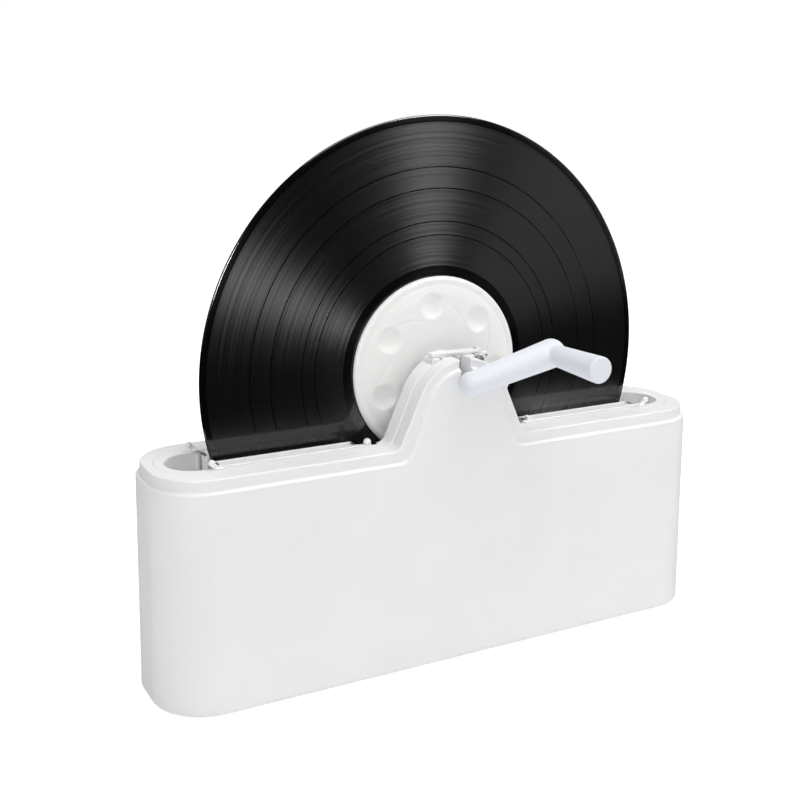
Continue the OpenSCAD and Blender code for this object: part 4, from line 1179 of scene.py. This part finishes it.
STEEL = steel("axle_steel", 0.24, ROD_TONE, tuple(0.9 * np.array(ROD_TONE)), ROD_TONE,
              tone_scale=40, lines_scale=700, stretch=(0.02, 1, 0.02), gloss=(0.16, 0.34),
              line_relief=0.2)
rod_profile = [(0, AXLE_Y0), (AXLE_R - 0.5, AXLE_Y0), (AXLE_R, AXLE_Y0 + 0.5), (AXLE_R, AXLE_Y1 - 0.8),
               (AXLE_R - 0.3, AXLE_Y1 - 0.3), (AXLE_R - 0.8, AXLE_Y1), (0, AXLE_Y1)]
rod = turned("axle_rod", np.array(rod_profile), 48)
dress(rod, "rotor", "axle_steel", STEEL, "axle")


def clip_outline():
    """A ring with a gap at the bottom: the outer arc one way and the inner arc back."""
    outer = circle_arc(0, AXLE_Z, CLIP_R, -74, 254, 56)
    inner = circle_arc(0, AXLE_Z, AXLE_R + 0.02, 254, -74, 56)
    return np.concatenate([outer, inner])


clip = plate("spring_clip", clip_outline(), CLIP_Y0, CLIP_Y1, 0.12)
dress(clip, "rotor", "axle_steel", STEEL, "axle_clip")


def nut_outline():
    """A circle of radius R with circular notches: where a notch lies nearer than its radius, the
    point moves in to the notch's edge."""
    a = np.arange(400) * 2 * math.pi / 400
    nearest = (a * NUT_GRIPS / (2 * math.pi) + 0.5) % 1 - 0.5
    off = nearest * 2 * math.pi / NUT_GRIPS
    dip = np.sqrt(np.maximum(NOTCH_R**2 - (NUT_R * np.sin(off)) ** 2, 0))
    r = np.minimum(NUT_R, NUT_R * np.cos(off) - dip + NOTCH_OUT)
    return np.stack([r * np.cos(a), AXLE_Z + r * np.sin(a)], 1)


nut = ring_plate("clamp_thumb_nut", nut_outline(), 0, AXLE_Z, AXLE_R + RUN, NUT_Y0, NUT_Y1, edge=0.6)
dress(nut, "clamp_nut", "crank_white", CRANK_WHITE, "clamp_nut")

# %% [markdown]
# The crank is one tapered bar with round ends that leans out a little towards the elbow, a boss
# that sits on the axle, and a spindle for the grip. A profile of distance along the bar and radius
# is carried round the line from the axle to the elbow. The grip is a slim cone that turns on the
# spindle, widest at its free end, and a small cap holds it.

# %% Crank
REACH, CRANK_ANGLE = 52.0, math.radians(14.9)
ELBOW_X, ELBOW_Z = REACH * math.cos(CRANK_ANGLE), AXLE_Z + REACH * math.sin(CRANK_ANGLE)
ARM_Y0, ARM_Y1, ARM_PAST = -47.6, -52, 1.8
ARM_R0, ARM_R1, BOSS_Y, BOSS_R, SPINDLE_R = 7.2, 8.9, -40.2, 5.2, 4.2
GRIP_R0, GRIP_R1, GRIP_Y0, GRIP_L, CAP_L = 6.5, 7.8, ARM_Y1 - ARM_R1 - 0.4, 36.7, 2.8


def bar(name, start, end, profile, turns=64):
    """A profile of points (along, radius) carried round the line from start to end."""
    start, end = Vector(start), Vector(end)
    direction = (end - start).normalized()
    axis, side = np.array(direction), np.array(direction.orthogonal().normalized())
    other = np.cross(axis, side)
    a = np.arange(turns) * 2 * math.pi / turns
    circle = np.cos(a)[:, None] * side + np.sin(a)[:, None] * other
    along, radius = profile[:, 0][:, None, None], profile[:, 1][:, None, None]
    grid = np.array(start) + along * axis + radius * circle
    return surface(name, grid, wrap_cols=True)


def domed_profile(length):
    """A tapered bar with ball ends: radius grows evenly between the two balls."""
    p = arc(0, 90, 14)
    low = np.stack([-ARM_R0 * np.cos(p), ARM_R0 * np.sin(p)], 1)
    high = np.stack([length + ARM_R1 * np.sin(p), ARM_R1 * np.cos(p)], 1)
    middle = np.linspace(0, 1, 12)[1:-1]
    taper = np.stack([middle * length, ARM_R0 + middle * (ARM_R1 - ARM_R0)], 1)
    return np.concatenate([low, taper, high])


def on_grip_axis(y):
    """The point of the grip's own axis at that distance from the record's plane."""
    return ELBOW_X, y, ELBOW_Z


arm_foot = (-ARM_PAST * math.cos(CRANK_ANGLE), ARM_Y0, AXLE_Z - ARM_PAST * math.sin(CRANK_ANGLE))
arm_length = (Vector(on_grip_axis(ARM_Y1)) - Vector(arm_foot)).length
arm = bar("arm", arm_foot, on_grip_axis(ARM_Y1), domed_profile(arm_length))
boss_profile = fillet([(AXLE_R + 0.02, BOSS_Y), (BOSS_R, BOSS_Y), (BOSS_R, ARM_Y0), (0, ARM_Y0)],
                      [0.5, 0.3])
boss = turned("boss", boss_profile, 64)
collar_l = ARM_Y1 - GRIP_Y0 - 0.2
collar = bar("collar", on_grip_axis(ARM_Y1), on_grip_axis(GRIP_Y0),
             fillet([(0, 0), (0, GRIP_R0), (collar_l, GRIP_R0), (collar_l, 0)], [0.1, 0.2]))
CAP_Y0 = GRIP_Y0 - GRIP_L - 0.2
spindle_l = ARM_Y1 - (CAP_Y0 - CAP_L) - 1.2
spindle = bar("spindle", on_grip_axis(ARM_Y1), on_grip_axis(CAP_Y0),
              fillet([(0, 0), (0, SPINDLE_R), (spindle_l, SPINDLE_R), (spindle_l, 0)], [0.1, 0.3]))
crank = join("crank_bar", [arm, boss, collar, spindle])
dress(crank, "rotor", "crank_white", CRANK_WHITE, "crank_arm")

grip_bore = SPINDLE_R + RUN
grip_profile = fillet([(0, grip_bore), (0, GRIP_R0), (GRIP_L, GRIP_R1), (GRIP_L, grip_bore),
                       (0, grip_bore)], [0.2, 0.2, 0])
sleeve = bar("turning_grip", on_grip_axis(GRIP_Y0), on_grip_axis(GRIP_Y0 - GRIP_L), grip_profile)
dress(sleeve, "grip", "crank_white", CRANK_WHITE, "crank_grip")
socket_l, socket_r = CAP_L - 1.15, SPINDLE_R + 0.02
cap_profile = fillet([(socket_l, 0), (socket_l, socket_r), (0, socket_r), (0, GRIP_R1), (CAP_L, GRIP_R1),
                      (CAP_L, 0)], [0, 0, 0.2, 1.6], 6)
cap = bar("grip_end_cap", on_grip_axis(CAP_Y0), on_grip_axis(CAP_Y0 - CAP_L), cap_profile)
dress(cap, "rotor", "crank_white", CRANK_WHITE, "grip_cap")
print(f"arm {arm_length:.1f} mm between the ball centres")

# %% [markdown]
# Each of the four brushes hangs in the gallery. Its holder has a flat cover over the hair, with a
# bead near the record and a round lip that rests on the deck, a wall behind the hair, an end plate
# at either end, and lugs with finger pieces. The four are mirror images, apart from the finger piece
# at the middle: a ball knob on the left and a square block on the right.

# %% Brush holders
HOLDER_Y, HOLDER_T, HOLDER_Z0 = 12.6, 2.2, DECK_Z - 18.6
COVER_Z1, COVER_T, COVER_IN, LIP_W, LIP_Z1 = DECK_Z - 0.2, 1.0, 5.7, 2.2, DECK_Z + 1.1
LUG_Z0, LUG_T, LUG_ROUND, PEG_R, PEG_HEAD = DECK_Z + 0.1, 0.9, 1.8, 1.3, 1.9
PEG_FOOT = (BRUSH_OUT + 1.9, SLOT_Y + 2.6, DECK_Z + 0.5)
PEG_BALL = (BRUSH_OUT + 5.1, SLOT_Y + 2.6, DECK_Z + 3.8)
END_IN, END_OUT, END_Z0 = 3, 16.6, GALLERY_Z + 8
KNOB_AT, KNOB_R, KNOB_Z, BLOCK_TOP = (BRUSH_IN - 4.5, SLOT_Y + 1.9), 2.2, DECK_Z + 2.7, DECK_Z + 2.9


def rounded(x0, x1, z0, z1, r):
    """Outline of a rectangle with quarter circles of radius r in its corners."""
    corners = ((x1 - r, z0 + r, -90), (x1 - r, z1 - r, 0), (x0 + r, z1 - r, 90), (x0 + r, z0 + r, 180))
    return np.concatenate([circle_arc(x, z, r, a, a + 90, 4) for x, z, a in corners])


def swapped_axes(piece, first, second):
    """Swaps two axes of a piece's mesh, and turns its faces out again."""
    rows = [[1, 0, 0, 0], [0, 1, 0, 0], [0, 0, 1, 0], [0, 0, 0, 1]]
    rows[first], rows[second] = rows[second], rows[first]
    piece.data.transform(Matrix(rows))
    piece.data.flip_normals()
    return piece


def flat_plate(name, outline, z0, z1):
    """A plate like the others, but its outline lies in plan and its thickness is upright."""
    return swapped_axes(plate(name, outline, z0, z1), 1, 2)


def strip(name, outline, x0, x1, edge):
    """A plate whose outline of points (y, z) is carried along the casing."""
    return swapped_axes(plate(name, outline, x0, x1, edge), 0, 1)


def upright(name, profile, x, y, turns):
    """A profile of points (radius, height) carried round an upright line at (x, y)."""
    a = np.arange(turns) * 2 * math.pi / turns
    r, z = profile[:, 0][:, None], profile[:, 1][:, None]
    return surface(name, np.stack([x + r * np.cos(a), y + r * np.sin(a), z + 0 * a], 2), wrap_cols=True)


def ball_pin(length, rod_r, ball_r):
    """A flared foot, a round rod and a ball: distance along the pin, and radius."""
    a = np.radians(np.linspace(180 - math.degrees(math.asin(rod_r / ball_r)), 0, 14))
    ball = np.stack([length + ball_r * np.cos(a), ball_r * np.sin(a)], 1)
    foot = [(-0.8, 0), (-0.8, rod_r + 0.7), (0.2, rod_r + 0.45), (0.7, rod_r + 0.1), (1.2, rod_r)]
    return np.concatenate([foot, ball])


def flipped(piece, mirror_x, mirror_y):
    """Mirrors a piece's mesh across the middle of the casing, and turns its faces out again."""
    sx, sy = (-1 if mirror_x else 1), (-1 if mirror_y else 1)
    piece.data.transform(Matrix.Diagonal((sx, sy, 1, 1)))
    if sx * sy < 0:
        piece.data.flip_normals()
    return piece


def cover_outline():
    """Section of the cover: flat, with a bead at its inner edge and the lip at its outer edge."""
    z0, rim, lip, bead_z = COVER_Z1 - COVER_T, SLOT_Y - PLAY, SLOT_Y + LIP_W, COVER_Z1 + 0.3
    corners = [(COVER_IN + 1, z0), (rim, z0), (rim, LUG_Z0), (lip, LUG_Z0), (lip, LIP_Z1),
               (SLOT_Y - 1.4, LIP_Z1), (SLOT_Y - 1.7, COVER_Z1), (COVER_IN + 1.3, COVER_Z1),
               (COVER_IN + 0.9, bead_z), (COVER_IN, bead_z), (COVER_IN, z0), (COVER_IN + 1, z0)]
    return fillet(corners, [0.3, 0, 0.2, 0.8, 0.9, 0.5, 0.3, 0.3, 0.3, 0.3], 4)[:-1]


def holder_parts(block_end):
    """The shells of one holder, drawn at the rear right."""
    wall_low = (BRUSH_IN, HOLDER_Y, HOLDER_Z0)
    wall_high = (BRUSH_OUT, HOLDER_Y + HOLDER_T, COVER_Z1 - 0.5)
    parts = [strip("cover", cover_outline(), BRUSH_IN, BRUSH_OUT, 0.35),
             block("wall", wall_low, wall_high, 0.4)]
    corners = [(END_IN, END_Z0 + 4), (END_IN, END_Z0), (END_OUT, END_Z0), (END_OUT, COVER_Z1),
               (END_IN, COVER_Z1), (END_IN, END_Z0 + 4)]
    for x in (BRUSH_IN, BRUSH_OUT - END_T):
        end = fillet(corners, [1.5, 1.5, 0.9, 2.2], 6)[:-1]
        parts.append(strip("end", end, x, x + END_T, 0.5))
    lug_z1 = LUG_Z0 + LUG_T
    outer_lug = rounded(BRUSH_OUT - END_T, BRUSH_OUT + 4.3, SLOT_Y - 0.8, PEG_FOOT[1] + 2.4, LUG_ROUND)
    parts.append(flat_plate("lug", outer_lug, LUG_Z0, lug_z1))
    reach = Vector(PEG_BALL) - Vector(PEG_FOOT)
    parts.append(bar("peg", PEG_FOOT, PEG_BALL, ball_pin(reach.length, PEG_R, PEG_HEAD), 32))
    inner = BRUSH_IN - (5 if block_end else 7.5)
    inner_lug = rounded(inner, BRUSH_IN + END_T, SLOT_Y - 0.8, KNOB_AT[1] + 2, LUG_ROUND)
    parts.append(flat_plate("lug", inner_lug, LUG_Z0, lug_z1))
    if block_end:
        section = rounded(HOLDER_Y - 0.2, SLOT_Y - 0.5, COVER_Z1 - 0.8, BLOCK_TOP, 0.6)
        parts.append(strip("block", section, BRUSH_IN - 0.4, BRUSH_IN + END_T, 0.5))
    else:
        foot, ball = (*KNOB_AT, LUG_Z0 + 0.4), (*KNOB_AT, KNOB_Z)
        parts.append(bar("knob", foot, ball, ball_pin(KNOB_Z - LUG_Z0 - 0.4, PEG_R, KNOB_R), 32))
    return parts


# %% [markdown]
# The brush itself is a field of short hair under the cover. Nearly three thousand tapered strands
# stand on a backing, each a slim three-sided needle with a slight bend. All strands are worked out at
# once as arrays: root, tip, bend and thickness, with seeded random differences.

# %% Brush hair
HAIR_TIP, HAIR_ROOT, HAIR_Z0, HAIR_H = 1.35, 11.3, DECK_Z - 14, 12.4
HAIR_R, HAIR_TAPER, HAIR_COLS, HAIR_ROWS, HAIR_RINGS = 0.34, 0.62, 168, 17, 4
rng = np.random.default_rng(12)


def hair_strands(x0, x1):
    """Rings of three points along each strand. Along it, share s runs from 0 to 1: the depth goes
    from root to tip, the height bends by droop * s * s, and the radius shrinks with s by HAIR_TAPER."""
    col, row = np.meshgrid(np.arange(HAIR_COLS), np.arange(HAIR_ROWS), indexing="ij")
    shift = rng.uniform(-0.35, 0.35, (2, *col.shape))
    px, pz = (x1 - x0) / HAIR_COLS, HAIR_H / HAIR_ROWS
    x = np.clip(x0 + (col + 0.5 + 0.5 * (row % 2) + shift[0]) * px, x0 + 0.4, x1 - 0.4).ravel()
    z = np.clip(HAIR_Z0 + (row + 0.5 + shift[1]) * pz, HAIR_Z0 + 0.5, HAIR_Z0 + HAIR_H - 0.5).ravel()
    tip = HAIR_TIP + np.abs(rng.normal(0, 0.35, x.shape)).clip(0, 1.2)
    lean, droop = rng.normal(0, 0.25, x.shape), rng.normal(-0.15, 0.2, x.shape)
    s = np.linspace(0, 1, HAIR_RINGS)[None, :, None]
    corner = (np.arange(3) * 2 * math.pi / 3)[None, None, :] + rng.uniform(0, 6.28, x.shape)[:, None, None]
    radius = HAIR_R * (1 - HAIR_TAPER * s)
    y = HAIR_ROOT + (tip[:, None, None] - HAIR_ROOT) * s + 0 * corner
    bent_x = x[:, None, None] + lean[:, None, None] * s**2 + radius * np.cos(corner)
    bent_z = z[:, None, None] + droop[:, None, None] * s**2 + radius * np.sin(corner)
    return np.stack([np.clip(bent_x, x0, x1), y, np.clip(bent_z, HAIR_Z0, HAIR_Z0 + HAIR_H)], 3)


def hair_mesh(name, strands):
    """One mesh of all strands: three sides between each two rings, and a triangle on either end."""
    count, rings, _, _ = strands.shape
    ring, side = np.meshgrid(np.arange(rings - 1), np.arange(3), indexing="ij")
    ring, side = ring.ravel(), side.ravel()
    low, high, beside = ring * 3, (ring + 1) * 3, (side + 1) % 3
    quads = np.stack([low + side, low + beside, high + beside, high + side], 1)
    first = (np.arange(count) * rings * 3)[:, None, None]
    quads = (quads[None] + first).reshape(-1, 4)
    tips = np.array([0, 1, 2])[None] + first[:, :, 0] + (rings - 1) * 3
    roots = np.array([2, 1, 0])[None] + first[:, :, 0]
    mesh = bpy.data.meshes.new(name)
    faces = quads.tolist() + tips.tolist() + roots.tolist()
    mesh.from_pydata((strands.reshape(-1, 3) * MM).tolist(), [], faces)
    mesh.flip_normals()
    mesh.polygons.foreach_set("use_smooth", np.ones(len(mesh.polygons), bool))
    shade = mesh.attributes.new("strand", "FLOAT", "POINT")
    tone = np.repeat(rng.uniform(0, 1, count), rings * 3)
    shade.data.foreach_set("value", tone.astype(np.float32))
    return add_object(name, mesh)


def hair_with_painted_shade():
    """Natural hair in a darkened beige-grey, partly its own colour and partly painted shade for the dim gap
    under the cover. Each strand has its own tone, and the light goes a little way through it.
    """
    # The hair's colour, here and in its two tones below, is darker than pale hair. It is partly a natural
    # beige-grey and partly painted shade, so that the gap under the cover looks dim.
    material, tree, shader = new_material("bristle_hair", 0.45, (0.5, 0.47, 0.42))
    strand = tree.nodes.new("ShaderNodeAttribute")
    strand.attribute_name = "strand"
    along = noise(tree, 500, 2, (1, 0.2, 1))
    own_tone = calculate(tree, "MULTIPLY", strand.outputs["Fac"], 0.6)
    both = calculate(tree, "ADD", own_tone, calculate(tree, "MULTIPLY", along, 0.4))
    tone = two_tones(tree, both, (0.40, 0.37, 0.32), (0.62, 0.59, 0.53))
    tree.links.new(tone, shader.inputs["Base Color"])
    tree.links.new(spread(tree, along, 0.38, 0.55), shader.inputs["Roughness"])
    shader.inputs["Subsurface Weight"].default_value = 0.2
    shader.inputs["Subsurface Scale"].default_value = 0.001
    return material


HAIR = hair_with_painted_shade()
BACKING_Y0, BACKING_Y1 = 10.9, 12.5
for mirror_y, depth in ((True, "front"), (False, "rear")):
    for mirror_x, side in ((True, "left"), (False, "right")):
        body = f"brush_{depth}_{side}"
        holder = flipped(join(f"holder_{depth}_{side}", holder_parts(side == "right")), mirror_x, mirror_y)
        dress(holder, body, "tank_white", TANK_WHITE, f"brush_holder_{depth}_{side}")
        x0, x1 = BRUSH_IN + END_T + 0.3, BRUSH_OUT - END_T - 0.3
        back = block("backing", (x0, BACKING_Y0, HAIR_Z0), (x1, BACKING_Y1, HAIR_Z0 + HAIR_H), 0.3)
        hair = hair_mesh("hair", hair_strands(x0, x1))
        brush = flipped(join(f"hair_{depth}_{side}", [hair, back], 60), mirror_x, mirror_y)
        dress(brush, body, "bristle_hair", HAIR, f"bristles_{depth}_{side}")

# %% [markdown]
# Small steel screws hold the bath in the deck and the plate in the foot of the casing. Each is a
# turned head with a cross recess. The recess is drawn in the head itself: its height drops where a
# point lies near one of two crossed lines.

# %% Screws
SCREW_TURNS = 48


def screw(name, x, y, face, head_r, rod_r, length, down):
    """A countersunk screw whose face is at height face. down = -1 points its rod downwards, 1 up.
    The recess goes down by a depth that falls off smoothly from the arms of a cross."""
    a = np.arange(SCREW_TURNS) * 2 * math.pi / SCREW_TURNS
    r_face = head_r * np.linspace(0, 0.97, 16)
    px, py = r_face[:, None] * np.cos(a), r_face[:, None] * np.sin(a)
    arm_w, arm_l = head_r * 0.16, head_r * 0.62
    ax, ay = np.abs(px), np.abs(py)
    near = np.minimum(np.maximum(ax - arm_w, ay - arm_l), np.maximum(ay - arm_w, ax - arm_l))
    depth = 0.45 * head_r * np.clip(0.5 - near / (0.14 * head_r), 0, 1)
    top = np.stack([px, py, face + down * depth], 2)
    side_r = np.array([head_r, head_r, rod_r, rod_r, 0])
    side_z = face + down * np.array([0.1, 0.25, head_r - rod_r + 0.2, length, length])
    below = np.stack([side_r[:, None] * np.cos(a), side_r[:, None] * np.sin(a), side_z[:, None] + 0 * a], 2)
    return surface(name, np.concatenate([top, below]) + [x, y, 0], wrap_cols=True, sharp=50)


deck_screws = [screw("s", sx * x, sy * (SLOT_Y + 5.2), DECK_Z - 0.02, 1.7, 0.9, 9, -1)
               for x in (BRUSH_OUT - 4.9, BRUSH_IN + 7) for sx in (-1, 1) for sy in (-1, 1)]
dress(join("deck_screw_set", deck_screws), "housing", "dark_steel", GUNMETAL, "tank_screws")
FOOT_GAP, BASE_SCREW_Y, BASE_SCREW_X = 1.0, 35.5, 140
base_set = [screw("s", x, sy * BASE_SCREW_Y, FOOT_GAP + 0.02, 3.2, 1.5, 15, 1)
            for x in (-BASE_SCREW_X, 0, BASE_SCREW_X) for sy in (-1, 1)]
dress(join("base_screw_set", base_set), "housing", "dark_steel", GUNMETAL, "base_screws")

# %% [markdown]
# Underneath, a flat plate closes the casing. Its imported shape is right, so it keeps it and only gets
# the casing's finish. Five rubber pads carry it. They have a soft edge and fine rings on the sole.

# %% Base plate and feet
PAD_SPOTS = ((-150, -20), (150, -20), (-150, 20), (150, 20), (0, 0))
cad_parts["base_plate"].data.materials.clear()
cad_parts["base_plate"].data.materials.append(CASING_WHITE)


def foot_profile():
    """A flat pad with a soft lower edge and three fine rings on its sole."""
    ring_r = np.linspace(0, 8.2, 42)
    rings = np.where(np.abs((ring_r % 2.6) - 1.3) < 0.3, 0.15, 0.0) * (ring_r > 1)
    sole = np.stack([ring_r, rings], 1)
    return np.concatenate([sole, [(8.5, 0.06), (8.85, 0.3), (9, 0.7), (9, 1.6), (0, 1.6)]])


feet = [upright("pad", foot_profile(), x, y, 64) for x, y in PAD_SPOTS]
dress(join("rubber_pads", feet), "housing", "foot_rubber", RUBBER, "rubber_feet")
